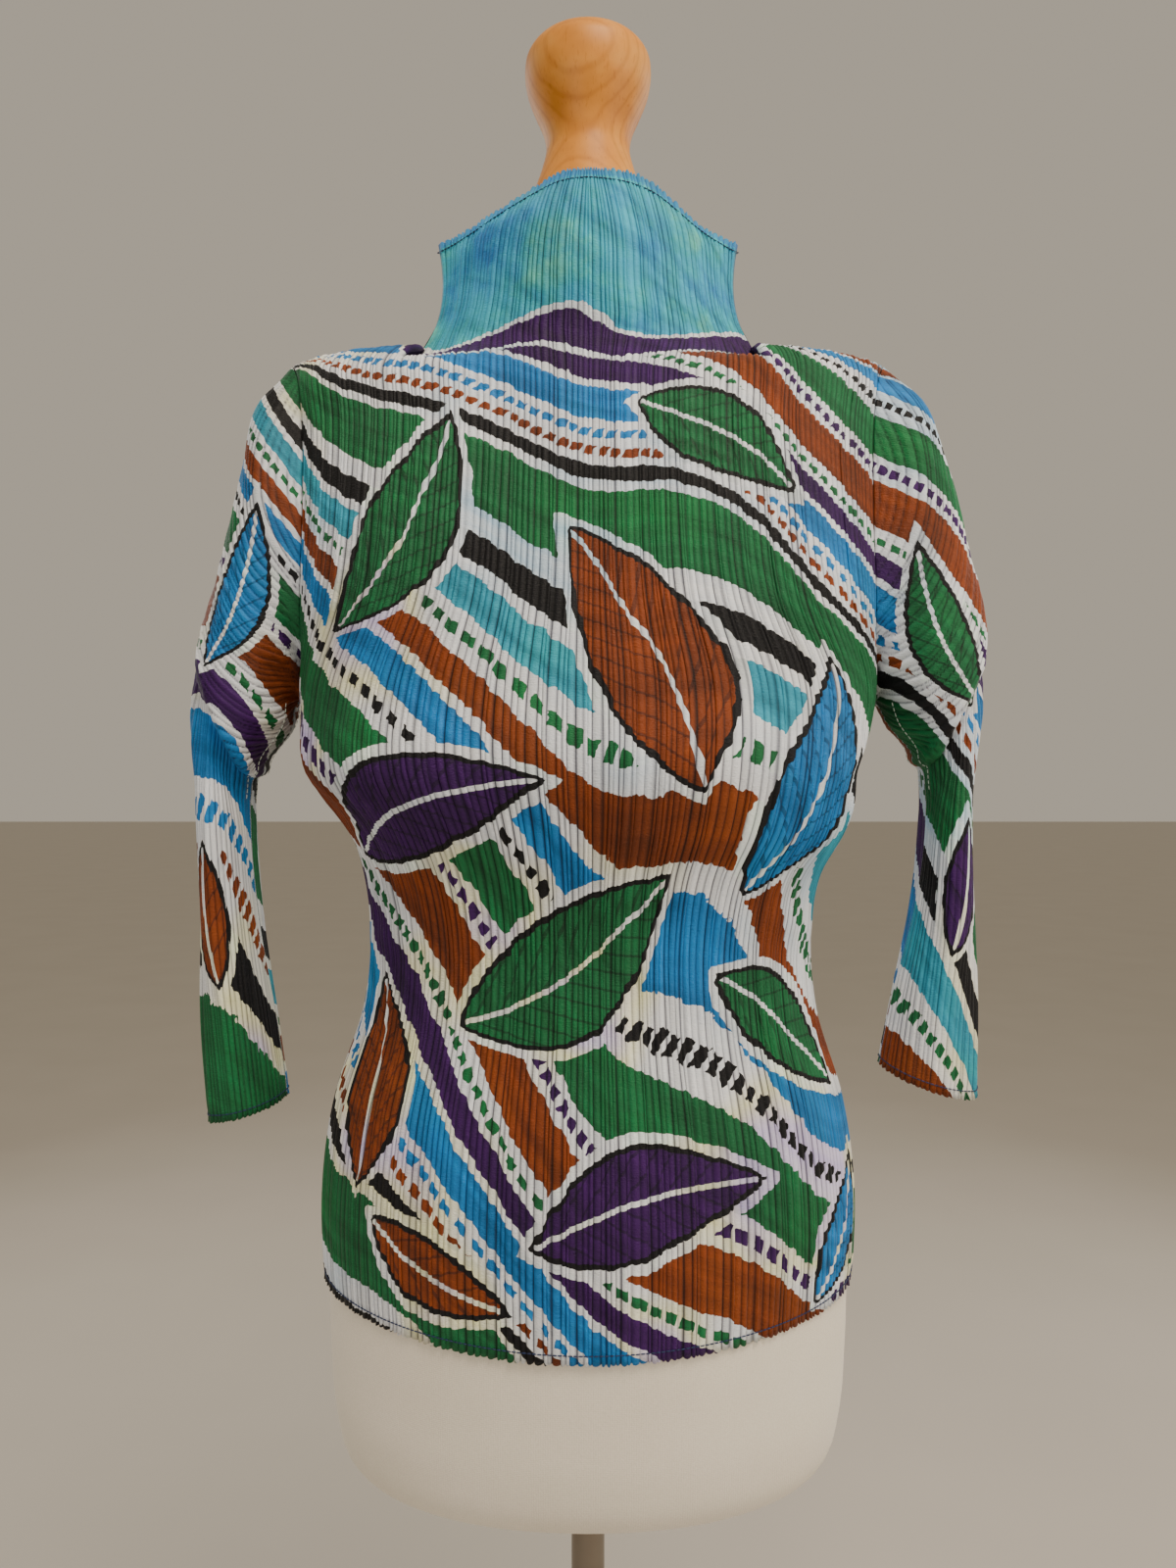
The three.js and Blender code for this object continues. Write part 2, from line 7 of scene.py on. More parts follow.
import bpy
import numpy as np
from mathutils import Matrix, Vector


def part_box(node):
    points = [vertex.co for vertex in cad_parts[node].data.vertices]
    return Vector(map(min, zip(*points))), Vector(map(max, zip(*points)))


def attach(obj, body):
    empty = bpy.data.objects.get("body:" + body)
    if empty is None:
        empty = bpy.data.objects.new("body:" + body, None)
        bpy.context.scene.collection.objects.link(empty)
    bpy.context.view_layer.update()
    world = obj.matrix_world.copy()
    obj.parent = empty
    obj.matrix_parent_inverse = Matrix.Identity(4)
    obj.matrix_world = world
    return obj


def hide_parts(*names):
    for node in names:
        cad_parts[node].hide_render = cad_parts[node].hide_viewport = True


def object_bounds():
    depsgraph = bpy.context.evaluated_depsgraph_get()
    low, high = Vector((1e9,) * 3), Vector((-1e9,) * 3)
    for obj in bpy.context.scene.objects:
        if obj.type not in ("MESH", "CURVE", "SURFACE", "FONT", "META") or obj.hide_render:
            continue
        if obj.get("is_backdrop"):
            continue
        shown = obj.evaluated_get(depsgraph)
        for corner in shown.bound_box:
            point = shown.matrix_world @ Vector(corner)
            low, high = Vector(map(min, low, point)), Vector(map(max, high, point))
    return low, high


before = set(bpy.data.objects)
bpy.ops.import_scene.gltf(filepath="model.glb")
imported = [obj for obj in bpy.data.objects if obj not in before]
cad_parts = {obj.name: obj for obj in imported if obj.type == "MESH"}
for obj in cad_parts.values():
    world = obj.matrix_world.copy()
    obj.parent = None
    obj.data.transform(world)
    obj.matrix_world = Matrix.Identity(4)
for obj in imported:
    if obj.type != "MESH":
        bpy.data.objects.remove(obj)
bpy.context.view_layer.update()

MM = 0.001

# Datum: the form's underside is this far below the bust line.
FORM_DROP = 424.0
BUST_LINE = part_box("torso")[0].z / MM + FORM_DROP
POLE_RADIUS = 10.5
SEAM_GAP = 0.3

# Cloth: the wall, how far a pleat's ridge stands over it, and how many pleats each piece has.
WALL = 0.9
PLEAT_RISE = 1.5
PANEL_PLEATS = 124
COLLAR_PLEATS = 70
SLEEVE_PLEATS = 54
ROW_STEP = 5.0
PANEL_WIDTH = 442.0
CURVE_STEPS = 400
COLLAR_POINTEDNESS = 1.12
RING_FULLNESS = 0.8
# The least share of a normal that may lie in a seam's plane, so that the wall doesn't grow too thick.
SEAM_TURN = 0.45
# How far the ridges reach past the valleys at a cut edge, and over what distance that fades.
SCALLOP = 1.25
SCALLOP_FADE = 2.5
# Stitching: how far in from the cut edge it runs, how much of a pleat it presses flat and over what
# distance, and at what share of a pleat's height its thread lies.
STITCH_INSET = 4.6
PRESSED = 0.45
PRESS_REACH = 2.6
SEWN_LEVEL = 0.42
# A distance beyond the reach of any edge or leaf.
FAR = 90.0

# Sleeve: rows are close together where the pleats run across them, down to the fold over the elbow.
# The sweep is how far the pleats run in for each millimetre down, below which height, and how softly.
SLEEVE_STEPS = np.array([1.2, 1.0, 1.0, 1.2, 1.2] + [4.0] * 6)
FOLD_RING = 5
SLEEVE_SWEEP = {"right": (0.95, 146.0, 22.0), "left": (0.66, 152.0, 20.0)}
# Where the swept pleats begin and end, their pitch, and the length round a sleeve.
SWEPT_PLEATS = (100.0, 440.0, 4.1)
ROUND_SLEEVE = 192.0
# Both sides of the underarm seam, as shares of the way round from the overarm.
UNDERARM_SEAMS = (0.445, 0.555)
# The gap between body and sleeve at the armhole, and how far from the underarm the lift there reaches.
ARMHOLE_GAP = 0.25
UNDERARM_REACH = 30.0

# One pleat from valley to valley: where its columns stand, how high they are, and where the print
# lies on them. The print jumps in the fold, because the cloth was printed before it was folded.
PLEAT_PLACE = np.array([0.0, 0.16, 0.42, 0.66, 0.88])
PLEAT_HEIGHT = np.array([0.0, 0.76, 1.0, 0.84, 0.46])
PLEAT_PRINT = np.array([0.0, 0.1, 0.27, 0.42, 0.56])
PLEAT_COLUMNS = len(PLEAT_PLACE)
# The plain inner face keeps one row in three and one column for each pleat.
COARSE_ROWS = 3
THIN = (slice(None, None, COARSE_ROWS), slice(None, None, PLEAT_COLUMNS))

# name, height in the middle, height at the edge, right and left half width, depth, fullness, cut
FRONT_SECTIONS = [
    ("hem", -312, -303, 163.2, 163.2, 111, 1.9, 90),
    ("hip", -255, -252, 164.4, 164.4, 111.5, 1.95, 90),
    ("high hip", -195, -195, 157.0, 157.0, 107, 2.0, 90),
    ("belly", -135, -135, 137.5, 140.0, 97, 2.1, 90),
    ("waist", -92, -92, 133.5, 137.0, 94, 2.2, 90),
    ("ribs", -54, -54, 136.5, 142.0, 101, 2.4, 90),
    ("under bust", -26, -26, 144.5, 156.5, 113, 2.6, 90),
    ("bust", 8, 8, 168.5, 162.0, 123, 2.65, 90),
    ("underarm", 52, 52, 176.0, 176.0, 117, 2.3, 90),
    ("chest", 105, 105, 177.5, 177.5, 107, 2.4, 75),
    ("high chest", 162, 165, 179.0, 179.0, 94, 2.3, 72),
    ("collarbone", 210, 218, 180.5, 180.5, 79, 2.15, 74),
    ("shoulder", 242, 252, 182.5, 182.5, 65, 2.0, 80),
]
BACK_SECTIONS = [
    ("hem", -307, -303, 163.2, 163.2, 113, 2.0, 90),
    ("hip", -252, -252, 164.4, 164.4, 118, 2.1, 90),
    ("high hip", -195, -195, 157.0, 157.0, 110, 2.1, 90),
    ("hollow", -135, -135, 137.5, 140.0, 92, 2.1, 90),
    ("waist", -92, -92, 133.5, 137.0, 85, 2.2, 90),
    ("ribs", -54, -54, 136.5, 142.0, 87, 2.3, 90),
    ("mid back", -26, -26, 144.5, 156.5, 91, 2.4, 90),
    ("under blade", 8, 8, 168.5, 162.0, 96, 2.5, 90),
    ("underarm", 52, 52, 176.0, 176.0, 102, 2.5, 90),
    ("blade", 105, 105, 177.5, 177.5, 107, 2.4, 75),
    ("high blade", 165, 165, 179.0, 179.0, 102, 2.3, 72),
    ("yoke", 218, 218, 180.5, 180.5, 84, 2.15, 74),
    ("shoulder", 254, 252, 182.5, 182.5, 66, 2.0, 80),
]
UNDERARM_ROW = 8
SHOULDER_SEAM = {"neck": 103.0, "tip": 185.5, "height": 273.5, "fall": 3.0, "tip_fall": 7.5}

# half width, depth, height at the side seam, height in the middle, how fast the row falls to its side,
# and how much closer its pleats are in the middle
FRONT_COLLAR = [(103.5, 58, 273.5, 266, 1.3, 1.0), (95, 59.5, 289, 292, 1.3, 1.0), (90.5, 59, 312, 325, 1.3, 1.02),
                (91, 55, 327, 343, 1.5, 1.12), (92.8, 42, 341, 365.5, 0.0, 1.3)]
BACK_COLLAR = [(103.5, 57, 273.5, 277, 1.3, 1.0), (95, 58, 289, 300, 1.3, 1.0), (90.5, 57, 312, 322, 1.3, 1.02),
               (91, 54, 327, 338, 1.3, 1.08), (92.8, 46, 341, 353, 1.6, 1.15)]
# How far the front collar's top edge lies below its middle, at shares of the way out
COLLAR_FALL = {
    "right": [(0, 0), (0.1, 0.4), (0.17, 1.6), (0.3, 7.2), (0.43, 12.3), (0.55, 16.4), (0.7, 21.4), (0.83, 24.0),
              (0.93, 24.6), (1, 24.5)],
    "left": [(0, 0), (0.24, 0.2), (0.38, 2.9), (0.46, 6.8), (0.56, 13.2), (0.67, 19.8), (0.79, 23.4), (0.92, 24.6),
             (1, 24.5)],
}

# overarm x and z, underarm x and z, how far the ring bellies to the front and back, how far it sags
SLEEVE_RINGS = {
    "right": [
        (200, 243, 182, 55, 40, 36, 0), (212, 200, 186, 50, 42, 36, 3), (225, 146, 189, 37, 43, 35, 5),
        (237.5, 92, 206, 12, 43, 35, 4), (239.5, 84, 207, 7, 42, 34, 4), (240.5, 79, 211, 6, 31, 33, 2),
        (242.8, 52, 215, -8, 29, 34, 0), (241.5, -10, 215, -26, 33, 34, 0), (239, -80, 210, -84, 31, 32, 0),
        (238, -146, 200, -148, 28, 27, 0), (236, -208, 192, -196, 25, 21, 2)],
    "left": [
        (202, 245, 182, 54, 40, 36, 0), (220, 205, 186, 48, 42, 36, 2), (234, 150, 192, 37, 43, 35, 3),
        (242.9, 98, 206, 20, 43, 35, 3), (242.6, 90, 207.5, 14, 42, 34, 3), (242.2, 85, 211, 12, 31, 33, 2),
        (241.5, 56, 215, -4, 29, 34, 0), (236, -14, 215, -24, 33, 34, 0), (238, -78, 208, -80, 31, 32, 0),
        (240.5, -138, 195, -136, 28, 27, 0), (242.5, -193, 186, -176, 26, 21, 4)],
}

# height, half width, front and back depth, fullness; the rows under the cloth stand a little inside
FORM_SECTIONS = [
    (-424, 124, 70, 72, 2.1), (-419, 141, 87, 89, 2.1), (-407, 151, 99, 101, 2.1),
    (-386, 156.5, 105, 107, 2.1), (-345, 160.5, 108.4, 110.8, 2.02), (-300, 162.0, 109.2, 111.6, 1.96),
    (-252, 162.6, 109.6, 115.6, 1.96), (-195, 153, 104, 107, 2.0), (-135, 128, 91, 85, 2.1),
    (-92, 121, 87, 78, 2.1), (-54, 127, 92, 81, 2.3), (-24, 138, 106, 86, 2.5), (8, 151, 120.6, 92, 2.6),
    (52, 159, 113.5, 98, 2.4), (105, 163, 103, 103, 2.3), (165, 165, 89, 98, 2.2),
    (215, 168, 73, 80, 2.1), (236, 171, 61, 69, 1.9), (250, 172, 56, 61, 1.45),
    (258, 166, 51, 54, 1.2), (263.5, 131, 49, 52, 1.15), (268, 99, 48, 50, 1.2),
    (276, 66, 48.5, 49.5, 1.9), (305, 56, 54, 52, 2.0)]

# z over the seat, radius
KNOB_PROFILE = [(0, 52), (6, 54), (15, 53), (30, 47.5), (48, 40.5), (66, 34.5), (82, 29), (95, 26.3),
                (105, 28), (117, 33), (130, 38), (142, 39.7), (151.5, 38.4), (157, 34.6), (159.6, 31.6),
                (160.5, 29.5)]

# Soft ridges and troughs laid on the cloth, in millimetres over the print's plane:
# from u, v to u, v, half width, height
FOLDS = {
    "front": [(-206, 352, -120, 300, 12, 2.2), (-210, 330, -136, 262, 10, 1.8), (204, 356, 126, 312, 11, 2.0),
              (208, 332, 142, 270, 10, 1.6), (-150, 566, -70, 588, 9, 1.4), (150, 566, 76, 590, 9, 1.4),
              (-60, 640, 30, 650, 9, 1.6), (-20, 618, 66, 630, 8, 1.2), (-196, 214, -110, 226, 10, 1.5),
              (120, 236, 198, 222, 10, 1.6), (-188, 250, -128, 244, 8, 1.2), (40, 108, 120, 92, 14, 1.2)],
    "back": [(-204, 350, -112, 316, 12, 2.0), (206, 348, 118, 318, 12, 2.0), (-150, 232, -40, 226, 11, 2.2),
             (-30, 206, 96, 214, 12, 2.2), (60, 246, 170, 236, 10, 1.8), (-190, 204, -96, 192, 10, 1.4),
             (-60, 640, 60, 646, 9, 1.4), (-90, 110, 20, 96, 14, 1.2)],
    "sleeve_right": [(-62, 118, -8, 196, 8, 2.6), (-48, 96, 6, 168, 7, 1.8), (-40, 226, -22, 420, 5, 2.0),
                     (-14, 236, 2, 330, 6, 1.4), (10, 60, 40, 190, 9, 1.6), (36, 240, 52, 400, 7, 1.6),
                     (-70, 60, -40, 120, 8, 1.2)],
    "sleeve_left": [(-60, 112, -10, 190, 8, 2.6), (-46, 90, 8, 160, 7, 1.8), (-36, 220, -24, 400, 5, 2.0),
                    (-12, 232, 4, 320, 6, 1.4), (12, 60, 40, 180, 9, 1.6), (38, 236, 50, 390, 7, 1.6)],
}

# Large leaves of the print: middle u, v, length, width, turn in degrees, bend, tone
LEAVES = {
    "front": [
        (-118, 470, 150, 66, 62, 12, 0.05), (92, 520, 128, 52, -28, -9, 0.35), (30, 392, 176, 78, 118, 14, 0.25),
        (-92, 300, 142, 58, 20, -10, 0.55), (128, 318, 150, 64, 74, 11, 0.75), (-10, 214, 168, 74, 32, 13, 0.05),
        (140, 168, 124, 50, -38, -8, 0.35), (-146, 138, 128, 54, 96, 10, 0.95), (36, 78, 150, 60, 12, -11, 0.55),
        (-88, 40, 96, 38, -24, 6, 0.25), (176, 44, 90, 40, 60, 6, 0.75), (-262, 438, 112, 44, 66, 9, 0.75),
        (-288, 232, 98, 36, 98, -6, 0.25), (264, 414, 116, 46, 116, -9, 0.05), (284, 250, 92, 34, 82, 6, 0.55)],
    "back": [
        (100, 486, 150, 66, 118, 12, 0.25), (-84, 452, 140, 60, 44, -10, 0.55), (20, 350, 170, 74, 64, 13, 0.05),
        (-132, 300, 130, 54, -18, 9, 0.75), (138, 292, 136, 56, 84, -10, 0.35), (-40, 196, 160, 68, 150, 12, 0.95),
        (104, 142, 140, 58, 30, 10, 0.05), (-146, 96, 118, 50, 70, -8, 0.25), (6, 52, 112, 46, -12, 8, 0.55),
        (-266, 452, 116, 46, 112, 8, 0.35), (-280, 250, 98, 36, 80, 6, 0.05), (268, 420, 118, 46, 70, -8, 0.75),
        (282, 228, 96, 36, 98, 6, 0.25)],
}

# Colours of the print and of the stand, read
INKS = {
    "green": "12653a", "rust": "7e3810", "violet": "391052", "blue": "1b78bb", "turquoise": "2f96b0",
    "black": "0e0d11", "ground": "e2e8ef",
}

# Bands of the print over one repeat: start, width, ink, and 1 for a plain band or 0.5 for a row of strokes
REPEAT = 400.0
BANDS = [
    (0, 46, "green", 1), (53, 9, "black", 1), (68, 7, "rust", 0.5), (80, 7, "blue", 0.5), (93, 24, "blue", 1),
    (122, 18, "violet", 1), (146, 7, "green", 0.5), (160, 36, "rust", 1), (203, 7, "violet", 0.5),
    (217, 34, "green", 1), (258, 7, "black", 0.5), (272, 20, "blue", 1), (298, 17, "rust", 1),
    (322, 7, "green", 0.5), (336, 22, "turquoise", 1), (366, 18, "black", 1),
]
STROKE_PITCH = 11.0
VEIN_PITCH = 15.0
INK_BLEED = 3.0


def evenly(curves, shares):
    """Measures each curve (curve, point, xyz) again by length: a point at each share of its length."""
    steps = np.linalg.norm(np.diff(curves, axis=1), axis=2)
    reach = np.concatenate([np.zeros((len(curves), 1)), np.cumsum(steps, axis=1)], axis=1)
    wanted = [np.asarray(shares) * total for total in reach[:, -1]]
    return np.stack([np.stack([np.interp(w, r, c[:, k]) for k in range(3)], axis=1)
                     for w, r, c in zip(wanted, reach, curves)])


def through(keys, before, after, step, multiple=COARSE_ROWS):
    """A smooth sheet through rows of points: between two rows each column is a cubic whose slope at a
    row weighs the steps on its two sides by their lengths. before and after are rows past the ends, and
    step is how far apart the sheet's own rows are, for all spans or for each."""
    apart = np.broadcast_to(step, len(keys) - 1)
    rows = np.concatenate([before[None], keys, after[None]])
    steps = np.diff(rows, axis=0)
    lengths = np.maximum(np.linalg.norm(steps, axis=2, keepdims=True), 1e-6)
    pace = steps / lengths
    slopes = (pace[:-1] * lengths[1:] + pace[1:] * lengths[:-1]) / (lengths[1:] + lengths[:-1])
    sheet_rows, spans = [], lengths[1:-1]
    for j in range(len(keys) - 1):
        count = multiple * max(1, round(float(spans[j].mean()) / (apart[j] * multiple)))
        t = (np.arange(count) / count)[:, None, None]
        rise = (2 * t**3 - 3 * t**2 + 1) * keys[j] + (3 * t**2 - 2 * t**3) * keys[j + 1]
        swing = (t**3 - 2 * t**2 + t) * slopes[j] + (t**3 - t**2) * slopes[j + 1]
        sheet_rows.append(rise + swing * spans[j])
    sheet_rows.append(keys[-1][None])
    return np.concatenate(sheet_rows)


def pleat_marks(count, seed, spread=0.5):
    """Valleys of count pleats whose widths vary by the spread, as shares from 0 to 1."""
    widths = 1 + spread * np.random.default_rng(seed).uniform(-1, 1, count)
    return np.concatenate([[0], np.cumsum(widths)]) / widths.sum()


def pleat_columns(marks):
    """Share of each column along a run of pleats: every pleat's own columns, and the last valley."""
    inside = marks[:-1, None] + np.diff(marks)[:, None] * PLEAT_PLACE
    return np.append(inside.ravel(), 1.0)


def pleat_profile(count, seed):
    """Height from 0 to 1 and print offset in pleats of each column; pleats differ in height."""
    tall = np.random.default_rng(seed).uniform(0.55, 1.0, count)
    height = (tall[:, None] * PLEAT_HEIGHT).ravel()
    printed = (np.arange(count)[:, None] + PLEAT_PRINT).ravel()
    return np.append(height, 0.0), np.append(printed, float(count))


def softened(values, reach):
    """Values averaged with a raised cosine over a reach on both sides, mirrored at the ends."""
    window = np.hanning(2 * reach + 3)[1:-1]
    padded = np.pad(values, reach, mode="reflect", reflect_type="odd")
    return np.convolve(padded, window / window.sum(), mode="valid")


def section_half(section, sign, shares):
    """A quarter of a superellipse from the panel's middle out to its edge, with its height sliding from
    the middle's to the edge's as the square of how far out it is."""
    _, middle, edge, right, left, depth, full, cut = section
    half, power = (right if sign < 0 else left), 2 / full
    angle = np.radians(cut) * np.arange(CURVE_STEPS + 1) / CURVE_STEPS
    x = half * np.sin(angle) ** power
    y = depth * np.maximum(np.cos(angle), 0) ** power
    z = middle + (edge - middle) * (x / x[-1]) ** 2
    return evenly(np.stack([sign * x, y, z], axis=1)[None], shares)[0]


def collar_half(row, sign, shares):
    """Half of a pointed lens: its depth falls as a power of one less the square of the share out."""
    half, depth, side, middle, dip, gather = row
    s = np.arange(CURVE_STEPS + 1) / CURVE_STEPS
    y = depth * np.maximum(1 - s**2, 0) ** COLLAR_POINTEDNESS
    if dip:
        z = middle + (side - middle) * s**dip
    else:
        fall = np.array(COLLAR_FALL["right" if sign < 0 else "left"])
        z = middle - softened(np.interp(s, fall[:, 0], fall[:, 1]), CURVE_STEPS // 16)
    return evenly(np.stack([sign * half * s, y, z], axis=1)[None], shares**gather)[0]


def shoulder_half(sign, shares):
    """The shoulder seam, straight from above and falling faster towards its tip."""
    seam = SHOULDER_SEAM
    s = np.arange(CURVE_STEPS + 1) / CURVE_STEPS
    x = seam["neck"] + (seam["tip"] - seam["neck"]) * s
    z = seam["height"] - seam["fall"] * s - seam["tip_fall"] * s**3
    return evenly(np.stack([sign * x, 0 * s, z], axis=1)[None], shares)[0]


def normals_of(grid, turn, wrap=False):
    """Unit normals of a grid of points, from the cross product of its two central differences."""
    if wrap:
        along = np.roll(grid, -1, axis=1) - np.roll(grid, 1, axis=1)
    else:
        along = np.gradient(grid, axis=1)
    normal = turn * np.cross(along, np.gradient(grid, axis=0))
    return normal / np.maximum(np.linalg.norm(normal, axis=2, keepdims=True), 1e-9)


def onto_seam(normal):
    """A normal turned into the plane between front and back, and lengthened so the wall keeps its size."""
    flat = normal * np.array([1.0, 0.0, 1.0])
    length = np.linalg.norm(flat, axis=-1, keepdims=True)
    return flat / np.maximum(length, 1e-9) / np.maximum(length, SEAM_TURN)


def fold_height(folds, u, v):
    """Sum of soft ridges: each a bell across its line, fading in and out along it as a sine."""
    total = np.zeros_like(u)
    for u0, v0, u1, v1, width, height in folds:
        du, dv = u1 - u0, v1 - v0
        length = np.hypot(du, dv)
        along = ((u - u0) * du + (v - v0) * dv) / length**2
        across = ((u - u0) * dv - (v - v0) * du) / length
        total += height * np.exp(-((across / width) ** 2)) * np.sin(np.pi * np.clip(along, 0, 1))
    return total


def sewn_line(inner, normals, distance):
    """The line of stitching at its distance from the cut edge, level with the pressed ridges."""
    nearest = int(np.argmin(np.abs(distance - STITCH_INSET)))
    return inner[nearest] + normals[nearest] * (WALL + SEWN_LEVEL * PLEAT_RISE), normals[nearest]


class Shell:
    """Gathers the points and faces of one closed cloth wall."""

    def __init__(self):
        self.points, self.faces, self.fields, self.count = [], [], [], 0

    def grid(self, points, fields):
        """Adds a grid of points with its values per point and gives back the grid of indices."""
        index = np.arange(points.shape[0] * points.shape[1]).reshape(points.shape[:2]) + self.count
        self.points.append(points.reshape(-1, 3))
        self.fields.append({k: np.broadcast_to(f, points.shape[:2]).ravel() for k, f in fields.items()})
        self.count += index.size
        return index

    def band(self, index, flip):
        """Quads between the neighbouring rows and columns of a grid of indices."""
        a, b, c, d = index[:-1, :-1], index[:-1, 1:], index[1:, 1:], index[1:, :-1]
        quads = np.stack([a, b, c, d], axis=-1).reshape(-1, 4)
        self.faces.append(quads[:, ::-1] if flip else quads)

    def rim(self, outer, inner, flip):
        """Triangles from a fine outer line to an inner line that has a point for every few of its own."""
        ratio = (len(outer) - 1) // (len(inner) - 1)
        start = np.arange(len(inner) - 1) * ratio
        made = []
        for m in range(ratio):
            near = inner[:-1] if m < ratio / 2 else inner[1:]
            made.append(np.stack([outer[start + m + 1], outer[start + m], near], axis=1))
        made.append(np.stack([outer[start + int(np.ceil(ratio / 2))], inner[:-1], inner[1:]], axis=1))
        tris = np.concatenate(made)
        self.faces.append(tris[:, ::-1] if flip else tris)

    def build(self, name):
        """One mesh object, placed at the bust line in metres, with each field as a point attribute."""
        points = np.concatenate(self.points)
        return mesh_object(name, points, self.faces,
                           {k: np.concatenate([f[k] for f in self.fields]) for k in self.fields[0]})


def mesh_object(name, points, face_sets, fields=None, lift=BUST_LINE):
    """A smooth mesh object at the origin from points in millimetres over a height, and sets of faces
    with as many sides each. Fields are values per point."""
    placed = (points + [0, 0, lift]) * MM
    mesh = bpy.data.meshes.new(name)
    corners = np.concatenate([f.ravel() for f in face_sets]).astype(np.int32)
    sizes = np.concatenate([np.full(len(f), f.shape[1]) for f in face_sets]).astype(np.int32)
    mesh.vertices.add(len(placed))
    mesh.vertices.foreach_set("co", placed.astype(np.float32).ravel())
    mesh.loops.add(len(corners))
    mesh.loops.foreach_set("vertex_index", corners)
    mesh.polygons.add(len(sizes))
    mesh.polygons.foreach_set("loop_start", np.concatenate([[0], np.cumsum(sizes)[:-1]]).astype(np.int32))
    mesh.update(calc_edges=True)
    mesh.validate()
    for key, values in (fields or {}).items():
        layer = mesh.attributes.new(key, "FLOAT", "POINT")
        layer.data.foreach_set("value", values.astype(np.float32))
    mesh.polygons.foreach_set("use_smooth", np.full(len(mesh.polygons), True))
    piece = bpy.data.objects.new(name, mesh)
    bpy.context.scene.collection.objects.link(piece)
    return piece


def leaf_fields(leaves, u, v):
    """For the leaf nearest each point: signed distance to its edge, place along and across its rib, and
    tone. A leaf's half width is a parabola along a rib that bends as a parabola too."""
    best = np.full(u.shape, 1e9)
    edge = np.full(u.shape, FAR)
    along_rib, across_rib, tone = np.zeros((3, *u.shape))
    for cu, cv, length, width, turn, bend, shade in leaves:
        c, s = np.cos(np.radians(turn)), np.sin(np.radians(turn))
        along = (u - cu) * c + (v - cv) * s
        across = (v - cv) * c - (u - cu) * s
        share = along / (length / 2)
        within = np.clip(share, -1.2, 1.2)
        across = across - bend * (within**2 - 0.5)
        half = width / 2 * (1 - share**2) * (1 - 0.22 * within)
        distance = (np.abs(across) - half) / np.hypot(1, 1.8 * width / length)
        near = distance < best
        best = np.where(near, distance, best)
        edge = np.where(near, distance, edge)
        along_rib = np.where(near, along, along_rib)
        across_rib = np.where(near, across, across_rib)
        tone = np.where(near, shade, tone)
    return {"leaf_edge": edge, "rib_along": along_rib, "rib_across": across_rib, "leaf_tone": tone}


def print_fields(kind, u, v, lean):
    """Fields of the print in millimetres over the flat cloth: flow runs across the wavy bands, as a slope
    with three waves laid over it, and drift along them. The lean is -1 to mirror the slope."""
    flow = (0.80 * v + lean * 0.58 * u + 34 * np.sin(v / 92 + lean * 0.7) + 24 * np.sin(lean * u / 64 + v / 150)
            + 10 * np.sin(u / 29 + 1.7) + 60)
    drift = u - lean * 0.45 * v + 18 * np.sin(v / 60)
    return {"flow": flow, "drift": drift, **leaf_fields(LEAVES[kind], u, v)}


def panel_grids(sections, collar, facing, seed):
    """Inner face of a panel: a grid from the hem to the shoulder seam and neck line, and one from the
    neck line to the collar's top. A panel's pleats run on into its collar."""
    side, split = PANEL_PLEATS // 2, COLLAR_PLEATS // 2 * PLEAT_COLUMNS
    # The right half is turned round when it is joined, so its pleats are laid out backwards.
    shares = {1: pleat_columns(pleat_marks(side, seed + 1)),
              -1: 1 - pleat_columns(1 - pleat_marks(side, seed)[::-1])[::-1]}

    def joined(half):
        """A whole row, from the right edge over the middle to the left one."""
        right, left = half(-1), half(1)
        return np.concatenate([right[:0:-1], left])

    rows = [joined(lambda sign, s=s: section_half(s, sign, shares[sign])) for s in sections]

    def neck_line(sign):
        """Half of the body's top row: along the neck line, then along the shoulder seam."""
        inner, outer = shares[sign][: split + 1], shares[sign][split:]
        over = (outer - outer[0]) / (1 - outer[0])
        return np.concatenate([collar_half(collar[0], sign, inner / inner[-1]), shoulder_half(sign, over)[1:]])

    rows.append(joined(neck_line))
    body = np.stack(rows)
    tops = np.stack([joined(lambda sign, r=r: collar_half(r, sign, shares[sign][: split + 1]
                                                          / shares[sign][split])) for r in collar[1:]])
    middle = side * PLEAT_COLUMNS
    lo, hi = middle - split, middle + split
    after = body[-2] * np.array([1.0, -1.0, 1.0])
    after[lo:hi + 1] = tops[0]
    before = 2 * body[0] - body[1]
    body_grid = through(body, before, after, ROW_STEP)
    collar_keys = np.concatenate([body[-1:, lo:hi + 1], tops])
    beyond = 2 * tops[-1] - tops[-2]
    collar_grid = through(collar_keys, body[-2, lo:hi + 1], beyond, ROW_STEP)
    place = np.array([1.0, facing, 1.0])
    shift = np.array([0.0, facing * SEAM_GAP / 6, 0.0])
    return body_grid * place + shift, collar_grid * place + shift, (lo, hi)


def cloth_lengths(grid):
    """Distance from a grid's first row, averaged over its columns so that the print stays level."""
    steps = np.linalg.norm(np.diff(grid, axis=0), axis=2).mean(axis=1)
    return np.concatenate([[0], np.cumsum(steps)])


def sewn_flat(distance):
    """How much of a pleat's height is left at a distance from the cut edge: the stitching presses it."""
    return 1 - PRESSED * np.exp(-(((distance - STITCH_INSET) / PRESS_REACH) ** 2))


